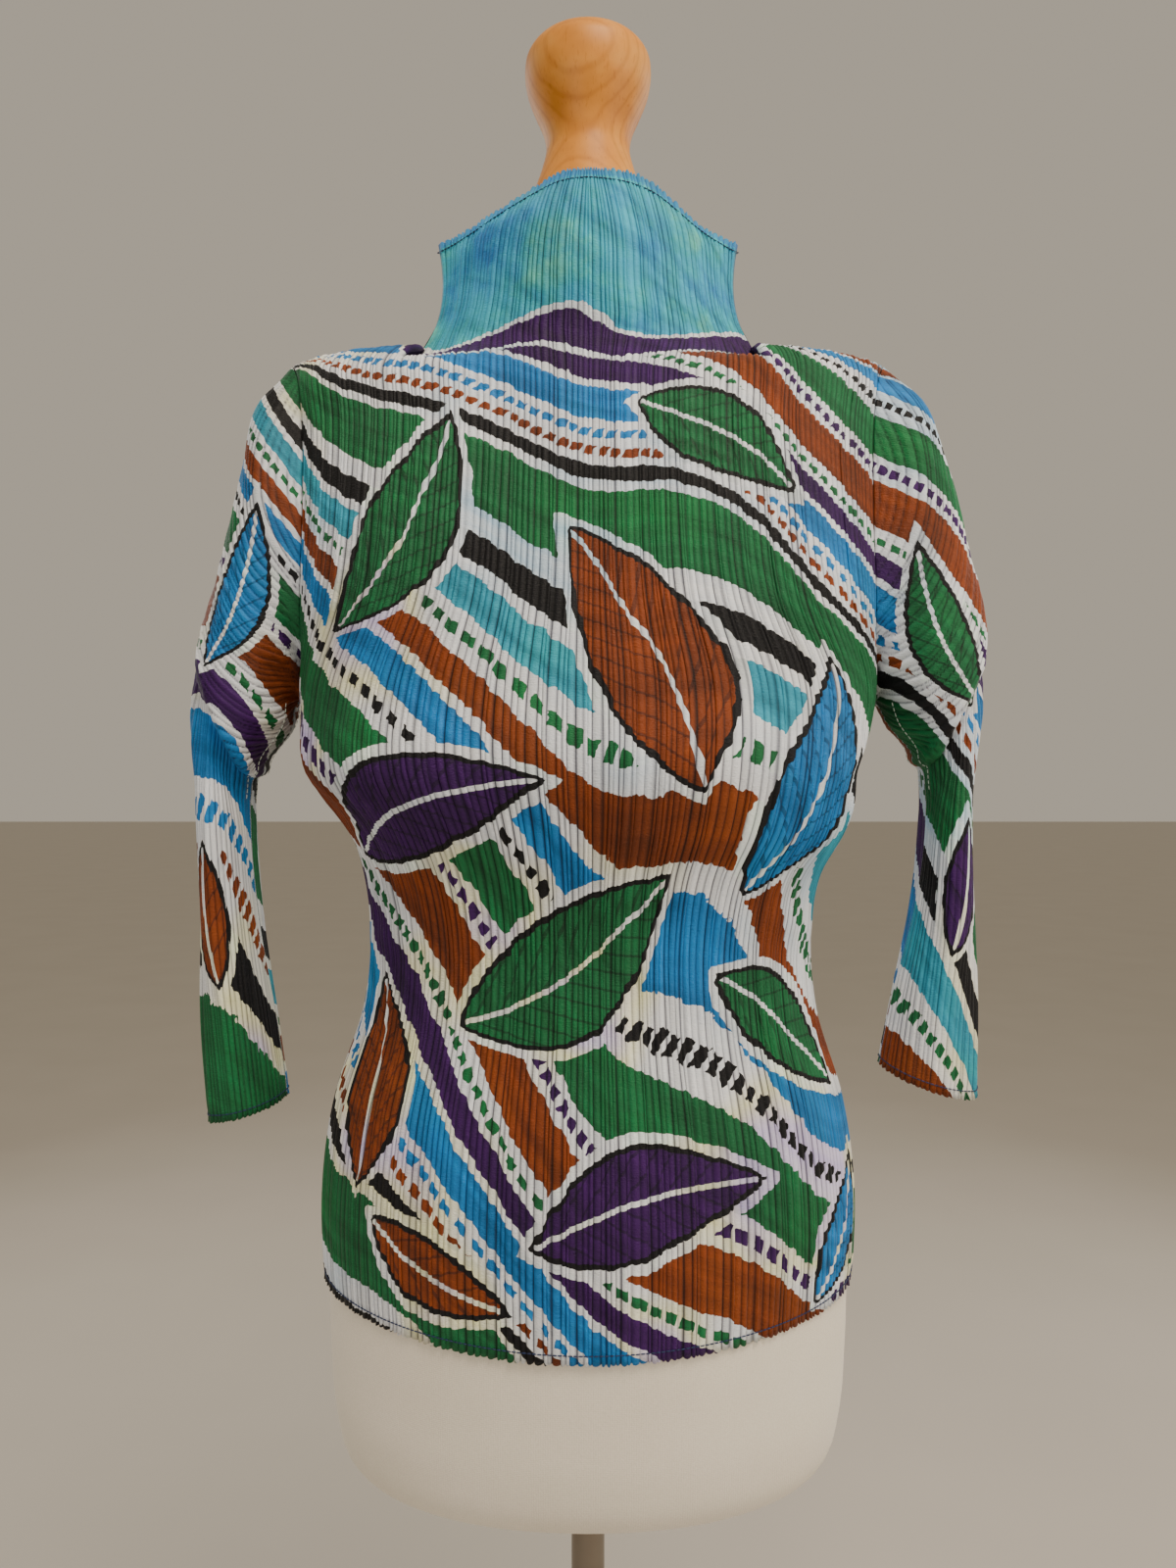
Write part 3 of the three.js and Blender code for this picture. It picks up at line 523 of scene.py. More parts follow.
def pleated(inner, normals, height, wander, v, seed, edge):
    """Outer face: the wall plus each column's pleat height, which swells and sinks along the pleat, with
    the pleats wandering a little to each side. edge is the distance of each row from the cut edge."""
    rng = np.random.default_rng(seed)
    phase = np.repeat(rng.uniform(0, 2 * np.pi, (2, len(height) // PLEAT_COLUMNS + 1)), PLEAT_COLUMNS, axis=1)
    phase = phase[:, : len(height)]
    vary = 1 + 0.22 * np.sin(v[:, None] / 43 + phase[0]) + 0.1 * np.sin(v[:, None] / 17 + 2 * phase[1])
    tall = WALL + PLEAT_RISE * height * np.clip(vary, 0.4, 1.25) * sewn_flat(edge)[:, None]
    along = np.gradient(inner, axis=1)
    along /= np.maximum(np.linalg.norm(along, axis=2, keepdims=True), 1e-9)
    side = wander * (np.sin(v[:, None] / 61 + phase[0]) + 0.4 * np.sin(v[:, None] / 27 + phase[1]))
    ends = np.minimum(np.arange(len(height)), len(height) - 1 - np.arange(len(height))) / (2 * PLEAT_COLUMNS)
    return inner + normals * tall[..., None] + along * (side * np.minimum(ends, 1))[..., None]


def panel(name, sections, collar, facing, seed, lean):
    """A front or back panel as one closed pleated wall, with its half of the collar grown on."""
    body, tops, (lo, hi) = panel_grids(sections, collar, facing, seed)
    neck, sides = slice(lo, hi + 1), [0, -1]
    height, printed = pleat_profile(PANEL_PLEATS, seed + 5)
    # The pleats beside the side seams are half as high.
    height[:PLEAT_COLUMNS] *= 0.5
    height[-PLEAT_COLUMNS:] *= 0.5
    normals = normals_of(body, -facing)
    whole_normals = normals_of(np.concatenate([body[:, neck], tops[1:]]), -facing)
    normals[:, neck] = whole_normals[: len(body)]
    top_normals = whole_normals[len(body) - 1:]
    underarm = int(np.argmax(np.abs(body[:, 0, 1]) > 1.0))
    normals[:underarm, sides] = onto_seam(normals[:underarm, sides])
    shoulder = np.r_[0:lo + 1, hi:body.shape[1]]
    normals[-1, shoulder] = onto_seam(normals[-1, shoulder])
    top_normals[:, sides] = onto_seam(top_normals[:, sides])
    normals[-1, neck] = top_normals[0]

    v_body = cloth_lengths(body)
    v_top = v_body[-1] + cloth_lengths(tops)
    u = (printed / PANEL_PLEATS - 0.5) * PANEL_WIDTH
    ub, vb = np.broadcast_arrays(u[None, :], v_body[:, None])
    ut, vt = np.broadcast_arrays(u[None, neck], v_top[:, None])
    body = body + normals * fold_height(FOLDS[name], ub, vb)[..., None]
    tops = tops + top_normals * fold_height(FOLDS[name], ut, vt)[..., None]
    outer_b = pleated(body, normals, height, 0.5, v_body, seed + 9, v_body)
    outer_t = pleated(tops, top_normals, height[neck], 0.0, v_top, seed + 11, v_top[-1] - v_top)
    outer_t[0] = outer_b[-1, neck]
    # The cut edges follow the pleats: each ridge reaches a little past its valleys.
    outer_b[..., 2] -= np.exp(-v_body / SCALLOP_FADE)[:, None] * (SCALLOP * height)
    outer_t[..., 2] += np.exp(-(v_top[-1] - v_top) / SCALLOP_FADE)[:, None] * (SCALLOP * height[neck])

    shell = Shell()

    def fields(h, uu, vv, edge, tone):
        """The print, whose border runs off over the shoulder seam beside the neck."""
        made = print_fields(name, uu, vv, lean)
        beside_neck = np.maximum(np.abs(uu) - abs(u[lo]), 0)
        return {**made, "pleat": h, "height": vv - 1.4 * beside_neck, "cut_edge": edge, "tone": tone}

    tones = np.repeat(np.random.default_rng(seed + 15).uniform(-1, 1, PANEL_PLEATS), PLEAT_COLUMNS)
    tones = np.append(tones, tones[-1])
    edge_b, edge_t = np.minimum(vb, FAR), v_top[-1] - vt
    outer_body = shell.grid(outer_b, fields(height, ub, vb, edge_b, tones))
    outer_top = shell.grid(outer_t[1:], fields(height[neck], ut[1:], vt[1:], edge_t[1:], tones[neck]))
    outer_top = np.concatenate([outer_body[-1:, neck], outer_top])
    inner_body = shell.grid(body[THIN], fields(0.0, ub[THIN], vb[THIN], edge_b[THIN], tones[::PLEAT_COLUMNS]))
    inner_top = shell.grid(tops[THIN][1:], fields(0.0, ut[THIN][1:], vt[THIN][1:], edge_t[THIN][1:],
                                                  tones[neck][::PLEAT_COLUMNS]))
    inner_lo, inner_hi = lo // PLEAT_COLUMNS, hi // PLEAT_COLUMNS
    inner_top = np.concatenate([inner_body[-1:, inner_lo:inner_hi + 1], inner_top])

    flip = facing > 0
    for index, turned in ((outer_body, flip), (outer_top, flip), (inner_body, not flip), (inner_top, not flip)):
        shell.band(index, turned)
    for outer, inner in (
            (outer_body[0], inner_body[0]), (outer_body[:, -1], inner_body[:, -1]),
            (outer_body[-1, hi:][::-1], inner_body[-1, inner_hi:][::-1]), (outer_top[:, -1], inner_top[:, -1]),
            (outer_top[-1][::-1], inner_top[-1][::-1]), (outer_top[:, 0][::-1], inner_top[:, 0][::-1]),
            (outer_body[-1, :lo + 1][::-1], inner_body[-1, :inner_lo + 1][::-1]),
            (outer_body[:, 0][::-1], inner_body[:, 0][::-1])):
        shell.rim(outer, inner, flip)
    made = {"body": body, "underarm": underarm,
            "normals": normals, "edge_z": body[:, -1, 2], "edge_v": v_body,
            "sewn": [sewn_line(body, normals, v_body), sewn_line(tops, top_normals, v_top[-1] - v_top)]}
    return shell.build(name), made


def sleeve_ring(ring, sign, shares):
    """An oval from the overarm fold down its front to the underarm and up its back: a cosine slides
    between the two folds and a power of the sine is the belly."""
    out_x, out_z, in_x, in_z, front, back, sag = ring
    angle = np.pi * np.arange(CURVE_STEPS + 1) / CURVE_STEPS
    share = (1 - np.cos(angle)) / 2
    x = sign * (out_x + (in_x - out_x) * share)
    z = out_z + (in_z - out_z) * share
    down = np.stack([x, -front * np.sin(angle) ** RING_FULLNESS, z - sag * np.sin(angle)], axis=1)
    up = np.stack([x, back * np.sin(angle) ** RING_FULLNESS, z], axis=1)[::-1]
    halves = evenly(np.stack([down, up]), shares)
    return np.concatenate([halves[0][:-1], halves[1][:-1]])


def armhole_ring(front, back, sign, shares):
    """The body's armhole edges joined from the shoulder tip down the front and up the back, stood off
    by the wall and a seam's gap, and lifted clear over the underarm."""
    column = 0 if sign < 0 else -1

    def edge(made):
        """A panel's edge from just under the underarm to the shoulder tip, moved clear of the body."""
        rows = slice(made["underarm"] - 1, None)
        points = made["body"][rows, column]
        under = np.exp(-np.linalg.norm(points - points[0], axis=1) / UNDERARM_REACH)
        away = ARMHOLE_GAP + WALL * np.abs(made["normals"][rows, column, 0])
        lift = (WALL + PLEAT_RISE) * 0.8 * under
        return points + np.stack([sign * away, 0 * away, lift], axis=1)

    down, up = edge(front)[::-1], edge(back)
    tip, foot = (down[0] + up[-1]) / 2, (down[-1] + up[0]) / 2
    down[0] = up[-1] = tip
    down[-1] = up[0] = foot
    halves = [evenly(h[None], shares)[0] for h in (down, up)]
    return np.concatenate([halves[0][:-1], halves[1][:-1]])


def across_pleats(place, edges, tall):
    """Height from 0 to 1 of points at a place across irregular pleats, how far the print there lags
    behind the cloth, in pleats, and each pleat's tone, from two fast sines of its number."""
    index = np.clip(np.searchsorted(edges, place, side="right") - 1, 0, len(edges) - 2)
    phase = np.clip((place - edges[index]) / (edges[index + 1] - edges[index]), 0, 1)
    turns = np.append(PLEAT_PLACE, 1.0)
    height = tall[index] * np.interp(phase, turns, np.append(PLEAT_HEIGHT, 0.0))
    tone = np.sin(index * 12.9898) * 0.6 + np.sin(index * 4.1414) * 0.4
    return height, np.interp(phase, PLEAT_PLACE, PLEAT_PRINT) - phase, tone


def uneven_pleats(start, stop, pitch, seed):
    """Edges of pleats of uneven width from start to stop, and each one's height."""
    count = int((stop - start) / pitch)
    edges = start + (stop - start) * pleat_marks(count, seed, spread=0.45)
    return edges, np.random.default_rng(seed).uniform(0.5, 1.0, count)


def sleeve_print(inner, turn, sign, lag):
    """Where the sleeve lies on the flat print, from the panel's middle: out from the armhole, with a share
    of how much shallower the ring is there than at its deepest, and 4 mm for each pleat of lag."""
    edge = np.array([(section[2], section[4]) for section in FRONT_SECTIONS[UNDERARM_ROW:]], float)
    out = sign * inner[..., 0] - np.interp(inner[..., 2], edge[:, 0], edge[:, 1])
    deep = np.abs(inner[..., 1])
    half = len(turn) // 2
    belly = np.concatenate([np.repeat(part.max(axis=1)[:, None], half, axis=1)
                            for part in (deep[:, :half], deep[:, half:])], axis=1)
    to_overarm = np.where((turn < 0.25) | (turn > 0.75), 1, -1)
    return PANEL_WIDTH / 2 + 1.25 * out + 0.7 * to_overarm * (belly - deep) * np.clip(out / 30, 0, 1) + 4.0 * lag


def sleeve(name, front, back, side, sign, seed):
    """A set-in sleeve as one closed pleated tube wall. The pleats of its upper part run down beside the
    body's and then sweep in towards the underarm, as the cloth hangs; below the fold over the elbow they
    run along the sleeve."""
    columns = SLEEVE_PLEATS * PLEAT_COLUMNS
    shares = np.arange(columns // 2 + 1) / (columns // 2)
    rings = [sleeve_ring(ring, sign, shares) for ring in SLEEVE_RINGS[side]]
    keys = np.stack([armhole_ring(front, back, sign, shares)] + rings)
    inner = through(keys, 2 * keys[0] - keys[1], 2 * keys[-1] - keys[-2], SLEEVE_STEPS)
    normals = normals_of(inner, sign, wrap=True)
    normals[0, :, 0] = sign * np.maximum(sign * normals[0, :, 0], 0)
    normals[0] /= np.linalg.norm(normals[0], axis=1, keepdims=True)
    v = cloth_lengths(inner)
    turn = np.arange(columns) / columns
    # Folds in the table are measured from the middle of the sleeve's front.
    around, along = np.broadcast_arrays((turn - 0.25)[None, :] * ROUND_SLEEVE, v[:, None])
    inner = inner + normals * fold_height(FOLDS[name], around, along)[..., None]

    sweep, bend, soft = SLEEVE_SWEEP[side]
    # Above the bend the place across the pleats is the place out from the middle, less a share of the
    # depth; below it a soft ramp, the log of one plus an exponential, adds the sweep.
    outward = sign * inner[..., 0] - 0.8 * np.abs(inner[..., 1])
    swept = outward + sweep * soft * np.log1p(np.exp(np.clip((bend - inner[..., 2]) / soft, -30, 30)))
    upper, upper_lag, upper_tone = across_pleats(swept, *uneven_pleats(*SWEPT_PLEATS, seed))
    straight = np.broadcast_to(turn[None, :] * ROUND_SLEEVE, around.shape)
    lower, lower_lag, lower_tone = across_pleats(
        straight, *uneven_pleats(0.0, ROUND_SLEEVE, ROUND_SLEEVE / SLEEVE_PLEATS, seed + 1))
    spans = np.linalg.norm(np.diff(keys, axis=0), axis=2).mean(axis=1)[:FOLD_RING] / SLEEVE_STEPS[:FOLD_RING]
    fold_row = int((COARSE_ROWS * np.maximum(1, np.round(spans / COARSE_ROWS))).sum())
    # The swept pleats give way to the straight ones over five rows at the fold.
    below = np.clip((np.arange(len(v)) - fold_row) / 5.0, 0, 1)[:, None]
    height = upper * (1 - below) + lower * below
    lag = np.where(below < 0.5, upper_lag, lower_lag)
    tone = np.where(below < 0.5, upper_tone, lower_tone)
    # Pleats are lower where they are sewn: over 8 mm at the armhole and along the cuff's stitches.
    pressed = np.clip(1 - 0.7 * np.exp(-v / 8), 0, 1)[:, None]
    pressed = pressed * sewn_flat(v[-1] - v)[:, None]
    outer = inner + normals * (WALL + PLEAT_RISE * height * pressed)[..., None]
    down = (keys[-1] - keys[-2]).mean(axis=0)
    down = down / np.linalg.norm(down)
    fade = np.exp(-(v[-1] - v) / SCALLOP_FADE)[:, None]
    outer = outer + down * (fade * SCALLOP * height)[..., None]

    shell = Shell()
    cut = v[-1] - along
    across = sign * sleeve_print(inner, turn, sign, lag)
    prints = [print_fields(kind, across, np.interp(inner[..., 2], made["edge_z"], made["edge_v"]), lean)
              for kind, made, lean in (("front", front, 1), ("back", back, -1))]

    def fields(rows):
        """The front's print, run on from the body's edge over the sleeve's front, and the back's behind."""
        made = {key: np.where(turn < 0.5, prints[0][key], prints[1][key])[rows] for key in prints[0]}
        return {**made, "height": 0 * cut[rows], "cut_edge": cut[rows], "tone": tone[rows]}

    outer_index = shell.grid(outer, {**fields(...), "pleat": height})
    inner_index = shell.grid(inner[THIN], {**fields(THIN), "pleat": 0.0})
    outer_index, inner_index = (np.concatenate([index, index[:, :1]], axis=1)
                                for index in (outer_index, inner_index))
    flip = sign < 0
    shell.band(outer_index, flip)
    shell.band(inner_index, not flip)
    shell.rim(outer_index[0], inner_index[0], flip)
    shell.rim(outer_index[-1][::-1], inner_index[-1][::-1], flip)
    cuff, facing = sewn_line(inner, normals, v[-1] - v)
    ring = [np.concatenate([line, line[:1]]) for line in (cuff, facing)]
    beside = inner + normals * (WALL + 0.8 * PLEAT_RISE)
    # The seam shows from below the armhole to a little past the fold.
    upper_rows = slice(int(0.45 * fold_row), fold_row + 12)
    seams = [(beside[upper_rows, column], normals[upper_rows, column])
             for column in (int(share * columns) for share in UNDERARM_SEAMS)]
    return shell.build(name), {"sewn": [ring], "underarm": seams}


def lathe(name, profile, facets, lift):
    """Turns a closed profile of (radius, z) round the Z axis; end points on the axis become poles."""
    profile = np.array(profile, float)
    angle = 2 * np.pi * np.arange(facets) / facets
    ring = np.stack([np.cos(angle), np.sin(angle)], axis=1)
    on_axis = profile[:, 0] < 1e-6
    points, index, count = [], [], 0
    for (radius, z), pole in zip(profile, on_axis):
        made = np.array([[0, 0, z]]) if pole else np.column_stack([ring * radius, np.full(facets, z)])
        points.append(made)
        index.append(np.full(facets, count) if pole else np.arange(facets) + count)
        count += len(made)
    quads, tris = [], []
    closed = not on_axis[0]
    for k in range(len(profile) if closed else len(profile) - 1):
        a, b = index[k], index[(k + 1) % len(profile)]
        a2, b2 = np.roll(a, -1), np.roll(b, -1)
        if on_axis[k]:
            tris.append(np.stack([a, b2, b], axis=1))
        elif on_axis[(k + 1) % len(profile)]:
            tris.append(np.stack([a, a2, b], axis=1))
        else:
            quads.append(np.stack([a, a2, b2, b], axis=1))
    return mesh_object(name, np.concatenate(points), quads + tris, lift=lift)


def rounded_disc(radius, bottom, top, round_radius, steps=7):
    """Profile of a disc with a quarter round on its upper edge and a small one below."""
    turn = np.linspace(0, np.pi / 2, steps)
    lower = [(radius - 0.5 + 0.5 * np.sin(a), bottom + 0.5 - 0.5 * np.cos(a)) for a in turn]
    upper = [(radius - round_radius + round_radius * np.cos(a), top - round_radius + round_radius * np.sin(a))
             for a in turn]
    return [(0.0, bottom)] + lower + upper + [(0.0, top)]


def smooth_profile(points, step):
    """A profile drawn through (z, radius) points by the same cubic as the cloth's columns."""
    keys = np.array([[[r, z, 0.0]] for z, r in points], float)
    line = through(keys, 2 * keys[0] - keys[1], 2 * keys[-1] - keys[-2], step, multiple=1)
    return [(float(r), float(z)) for r, z in line[:, 0, :2]]


def form_torso():
    """The form's torso: superellipse rings joined by smooth cubics, closed flat below and above by
    smaller copies of the end rings."""
    columns = 160
    angle = 2 * np.pi * np.arange(columns) / columns
    rings = []
    for z, half, front, back, full in FORM_SECTIONS:
        across = np.sign(np.sin(angle)) * np.abs(np.sin(angle)) ** (2 / full)
        deep = np.sign(np.cos(angle)) * np.abs(np.cos(angle)) ** (2 / full)
        depth = np.where(deep < 0, back, front)
        rings.append(np.stack([half * across, -depth * deep, np.full(columns, z)], axis=1))
    keys = np.stack([evenly(np.concatenate([r, r[:1]])[None], np.arange(columns + 1) / columns)[0][:-1]
                     for r in rings])
    under = np.stack([keys[0] * [s, s, 1] for s in (0.04, 0.5, 0.9)])
    over = np.stack([keys[-1] * [s, s, 1] for s in (0.9, 0.5, 0.04)])
    body = through(keys, keys[0] * [0.8, 0.8, 1], keys[-1] * [0.9, 0.9, 1], 6.0)
    grid = np.concatenate([under, body, over])
    index = np.arange(grid.shape[0] * columns).reshape(grid.shape[:2])
    nxt = np.roll(index, -1, axis=1)
    quads = np.stack([index[:-1], nxt[:-1], nxt[1:], index[1:]], axis=-1).reshape(-1, 4)
    caps = [index[0][::-1][None], index[-1][None]]
    return mesh_object("form_torso", grid.reshape(-1, 3), [quads] + caps)


def stitches(name, lines, pitch, length, radius):
    """Thread stitches as small closed capsules, end to end along lines that lie on the cloth. A capsule is
    a run of hexagons, thinner at both ends, sunk a tenth of its radius into the cloth."""
    sides = 6
    stations = np.array([-0.5, -0.32, 0.0, 0.32, 0.5])
    girth = np.array([0.35, 0.9, 1.0, 0.9, 0.35])
    turn = 2 * np.pi * np.arange(sides) / sides
    all_points, all_faces, count = [], [], 0
    for line, normal in lines:
        steps = np.linalg.norm(np.diff(line, axis=0), axis=1)
        reach = np.concatenate([[0], np.cumsum(steps)])
        number = int(reach[-1] // pitch)
        middle = (np.arange(number) + 0.5) * pitch
        at, ahead, behind, out = (
            np.stack([np.interp(place, reach, values[:, k]) for k in range(3)], axis=1)
            for place, values in ((middle, line), (middle + length / 2, line), (middle - length / 2, line),
                                  (middle, normal)))
        along = ahead - behind
        along /= np.maximum(np.linalg.norm(along, axis=1, keepdims=True), 1e-9)
        out /= np.maximum(np.linalg.norm(out, axis=1, keepdims=True), 1e-9)
        wide = np.cross(out, along)
        up = np.cross(along, wide)
        centre = at[:, None, None] + along[:, None, None] * (stations * length)[None, :, None, None]
        spread = (wide[:, None, None] * np.cos(turn)[None, None, :, None]
                  + up[:, None, None] * np.sin(turn)[None, None, :, None])
        points = centre + spread * (girth * radius)[None, :, None, None] + out[:, None, None] * radius * 0.9
        index = np.arange(points[..., 0].size).reshape(points.shape[:3]) + count
        nxt = np.roll(index, -1, axis=2)
        quads = np.stack([index[:, :-1], nxt[:, :-1], nxt[:, 1:], index[:, 1:]], axis=-1).reshape(-1, 4)
        all_faces += [quads, index[:, 0, ::-1], index[:, -1]]
        all_points.append(points.reshape(-1, 3))
        count += index.size
    return mesh_object(name, np.concatenate(all_points), all_faces)


# A texture's scale is one of these over the size in millimetres of what it draws.
NOISE_MM = 1000.0
WAVE_MM = 100.0 * np.pi


def linear(hex_colour, alpha=1.0):
    """An sRGB hex colour as the linear numbers that shaders read."""
    values = np.array([int(hex_colour[k:k + 2], 16) for k in (0, 2, 4)]) / 255
    values = np.where(values <= 0.04045, values / 12.92, ((values + 0.055) / 1.055) ** 2.4)
    return (*values.tolist(), alpha)


def even(value):
    """A grey of this linear brightness, to darken a colour by or to carry a roughness."""
    return (value, value, value, 1.0)


def new_material(name):
    """A material with an empty tree; gives both."""
    made = bpy.data.materials.new(name)
    made.use_nodes = True
    made.node_tree.nodes.clear()
    return made, made.node_tree


def add(tree, kind, inputs=None, stops=(), steps="LINEAR", **settings):
    """Adds a node with its settings and, on a ramp, its stops of (place, colour). Each input takes a
    value, a socket to link, or a node, whose first output it links. On a colour Mix, input 0 is the share,
    6 the colour below and 7 the one laid over it."""
    node = tree.nodes.new("ShaderNode" + kind)
    for key, value in settings.items():
        setattr(node, key, value)
    for k, (place, colour) in enumerate(stops):
        elements = node.color_ramp.elements
        element = elements[k] if k < 2 else elements.new(place)
        element.position, element.color = place, colour
        node.color_ramp.interpolation = steps
    for key, value in (inputs or {}).items():
        source = value.outputs[0] if isinstance(value, bpy.types.Node) else value
        if isinstance(source, bpy.types.NodeSocket):
            tree.links.new(source, node.inputs[key])
        else:
            node.inputs[key].default_value = source
    return node


def pleated_polyester():
    """Heat-pleated polyester, printed before it was folded: smooth filament yarn, so the ridges carry a
    soft gloss, and ink that dries uneven like a wash. Its threads are 0.25 mm apart, drawn at 0.9 mm."""
    made, tree = new_material("pleated polyester, printed")
    ink = {name: linear(colour) for name, colour in INKS.items()}
    place = add(tree, "TexCoord").outputs["Object"]
    at = {name: add(tree, "Attribute", attribute_name=name).outputs["Fac"]
          for name in ("flow", "drift", "height", "pleat", "tone", "cut_edge",
                       "leaf_edge", "leaf_tone", "rib_along", "rib_across")}
    shake = add(tree, "TexNoise", {"Vector": place, "Scale": NOISE_MM / 9.5, "Detail": 3.0})
    bleed = add(tree, "Math", {0: shake, 1: 2 * INK_BLEED, 2: -INK_BLEED}, operation="MULTIPLY_ADD")
    wash = add(tree, "TexNoise", {"Vector": place, "Scale": NOISE_MM / 59, "Detail": 5.0, "Roughness": 0.62})
    tint = add(tree, "TexNoise", {"Vector": place, "Scale": NOISE_MM / 133, "Detail": 2.0})
    ground = add(tree, "ValToRGB", {0: tint}, [
        (0.30, linear("bdd7ea")), (0.42, ink["ground"]), (0.54, linear("e8ebee")), (0.61, linear("ebebc6")),
        (0.68, linear("d6cdee"))])

    # Wavy bands: a ramp over one repeat, whose alpha says whether a band is plain or a row of strokes
    flow = add(tree, "Math", {0: at["flow"], 1: bleed}, operation="ADD")
    turn = add(tree, "Math", {0: flow, 1: REPEAT, 2: 0.0}, operation="WRAP")
    turn = add(tree, "Math", {0: turn, 1: REPEAT}, operation="DIVIDE")
    stops = []
    for start, width, name, kind in BANDS:
        stops += [(start / REPEAT, linear(INKS[name], kind)),
                  ((start + width) / REPEAT, linear(INKS["ground"], 0.0))]
    bands = add(tree, "ValToRGB", {0: turn}, stops, "CONSTANT")
    along = add(tree, "Math", {0: bleed, 1: 0.8, 2: at["drift"]}, operation="MULTIPLY_ADD")
    along = add(tree, "Math", {0: along, 1: STROKE_PITCH, 2: 0.0}, operation="WRAP")

    # Leaves: slanting veins off a pale rib, inside a black outline and a gap of bare ground
    edge = add(tree, "Math", {0: bleed, 1: 0.6, 2: at["leaf_edge"]}, operation="MULTIPLY_ADD")
    across = add(tree, "Math", {0: at["rib_across"]}, operation="ABSOLUTE")
    slant = add(tree, "Math", {0: across, 1: -1.15, 2: at["rib_along"]}, operation="MULTIPLY_ADD")
    slant = add(tree, "Math", {0: slant, 1: VEIN_PITCH, 2: 0.0}, operation="WRAP")
    tones = add(tree, "ValToRGB", {0: at["leaf_tone"]}, [
        (0.0, ink["green"]), (0.18, ink["rust"]), (0.30, ink["green"]), (0.45, ink["violet"]),
        (0.65, ink["blue"]), (0.85, ink["rust"])], "CONSTANT")

    # The collar: turquoise over a violet border with a wavy edge
    wave = add(tree, "Math", {0: at["drift"], 1: 0.045}, operation="MULTIPLY")
    wave = add(tree, "Math", {0: wave}, operation="SINE")
    level = add(tree, "Math", {0: wave, 1: 9.0, 2: at["height"]}, operation="MULTIPLY_ADD")
    level = add(tree, "Math", {0: level, 1: bleed}, operation="ADD")
    teal = add(tree, "ValToRGB", {0: wash}, [
        (0.34, linear("2a84ca")), (0.44, linear("38a6cf")), (0.54, linear("38a9bc")), (0.66, linear("66c0b0"))])

    where = {name: add(tree, "Math", {0: value, 1: limit}, operation=test) for name, value, test, limit in (
        ("plain band", bands.outputs["Alpha"], "GREATER_THAN", 0.75),
        ("any band", bands.outputs["Alpha"], "GREATER_THAN", 0.25),
        ("stroke", along, "LESS_THAN", STROKE_PITCH * 0.66),
        ("leaf gap", edge, "LESS_THAN", 5.0), ("leaf outline", edge, "LESS_THAN", 0.0),
        ("leaf", edge, "LESS_THAN", -2.6), ("vein", slant, "LESS_THAN", 2.0), ("rib", across, "LESS_THAN", 1.5),
        ("border gap", level, "GREATER_THAN", 586.0), ("border", level, "GREATER_THAN", 591.0),
        ("yoke gap", level, "GREATER_THAN", 614.0), ("yoke", level, "GREATER_THAN", 618.0),
        ("turned edge", at["cut_edge"], "LESS_THAN", STITCH_INSET),
        ("collar", at["height"], "GREATER_THAN", 600.0))}
    strokes = add(tree, "Math", {0: where["any band"], 1: where["stroke"]}, operation="MULTIPLY")
    inked = add(tree, "Math", {0: where["plain band"], 1: strokes}, operation="MAXIMUM")
    veined = add(tree, "Math", {0: where["vein"], 1: 0.5}, operation="MULTIPLY")
    leaf = tones
    for share, over in ((veined, ink["black"]), (where["rib"], ground)):
        leaf = add(tree, "Mix", {0: share, 6: leaf, 7: over}, data_type="RGBA").outputs[2]
    colour = ground
    for share, over in ((inked, bands), (where["leaf gap"], ground), (where["leaf outline"], ink["black"]),
                        (where["leaf"], leaf), (where["border gap"], ground), (where["border"], ink["violet"]),
                        (where["yoke gap"], ground), (where["yoke"], teal)):
        colour = add(tree, "Mix", {0: share, 6: colour, 7: over}, data_type="RGBA").outputs[2]

    # The brush left streaks along the bands, ink dries uneven, the pleats' valleys get painted shade that
    # deepens as the pleat falls, and each pleat took the dye a little differently.
    brushed = [add(tree, "Math", {0: at[name], 1: 1 / size}, operation="MULTIPLY")
               for name, size in (("drift", 80.0), ("flow", 9.0))]
    brushed = add(tree, "CombineXYZ", {0: brushed[0], 1: brushed[1]})
    streak = add(tree, "TexNoise", {"Vector": brushed, "Scale": 1.0, "Detail": 4.0})
    streak = add(tree, "ValToRGB", {0: streak}, [(0.32, even(0.26)), (0.68, even(0.74))])
    colour = add(tree, "Mix", {0: 0.6, 6: colour, 7: streak}, data_type="RGBA", blend_type="OVERLAY").outputs[2]
    uneven = add(tree, "Math", {0: inked, 1: 0.65}, operation="MULTIPLY")
    drying = add(tree, "ValToRGB", {0: wash}, [(0.3, (0.55, 0.62, 0.6, 1)), (0.5, even(1.0)),
                                               (0.7, (1.15, 1.4, 1.1, 1))])
    # Painted shade in the pleats' valleys: darkest where a pleat is lowest, stronger on some pleats and in
    # patches.
    valley_shade_share = add(tree, "Math", {0: at["tone"], 1: 0.5, 2: 0.4}, operation="MULTIPLY_ADD")
    valley_shade_share = add(tree, "Math", {0: wash, 1: 0.8, 2: valley_shade_share}, operation="MULTIPLY_ADD")
    valley = add(tree, "ValToRGB", {0: at["pleat"]}, [(0.0, (0.08, 0.08, 0.1, 1)), (0.26, (0.5, 0.5, 0.54, 1)),
                                                      (0.55, even(1.0))])
    dyed = add(tree, "Math", {0: at["tone"], 1: -0.13, 2: 1.0}, operation="MULTIPLY_ADD")
    dyed = add(tree, "CombineColor", {0: dyed, 1: dyed, 2: dyed})
    for share, over in ((uneven, drying), (valley_shade_share, valley), (1.0, dyed)):
        colour = add(tree, "Mix", {0: share, 6: colour, 7: over}, data_type="RGBA",
                     blend_type="MULTIPLY").outputs[2]
    lit = add(tree, "Math", {0: where["turned edge"], 1: where["collar"]}, operation="MULTIPLY")
    lit = add(tree, "Math", {0: lit, 1: 0.6}, operation="MULTIPLY")
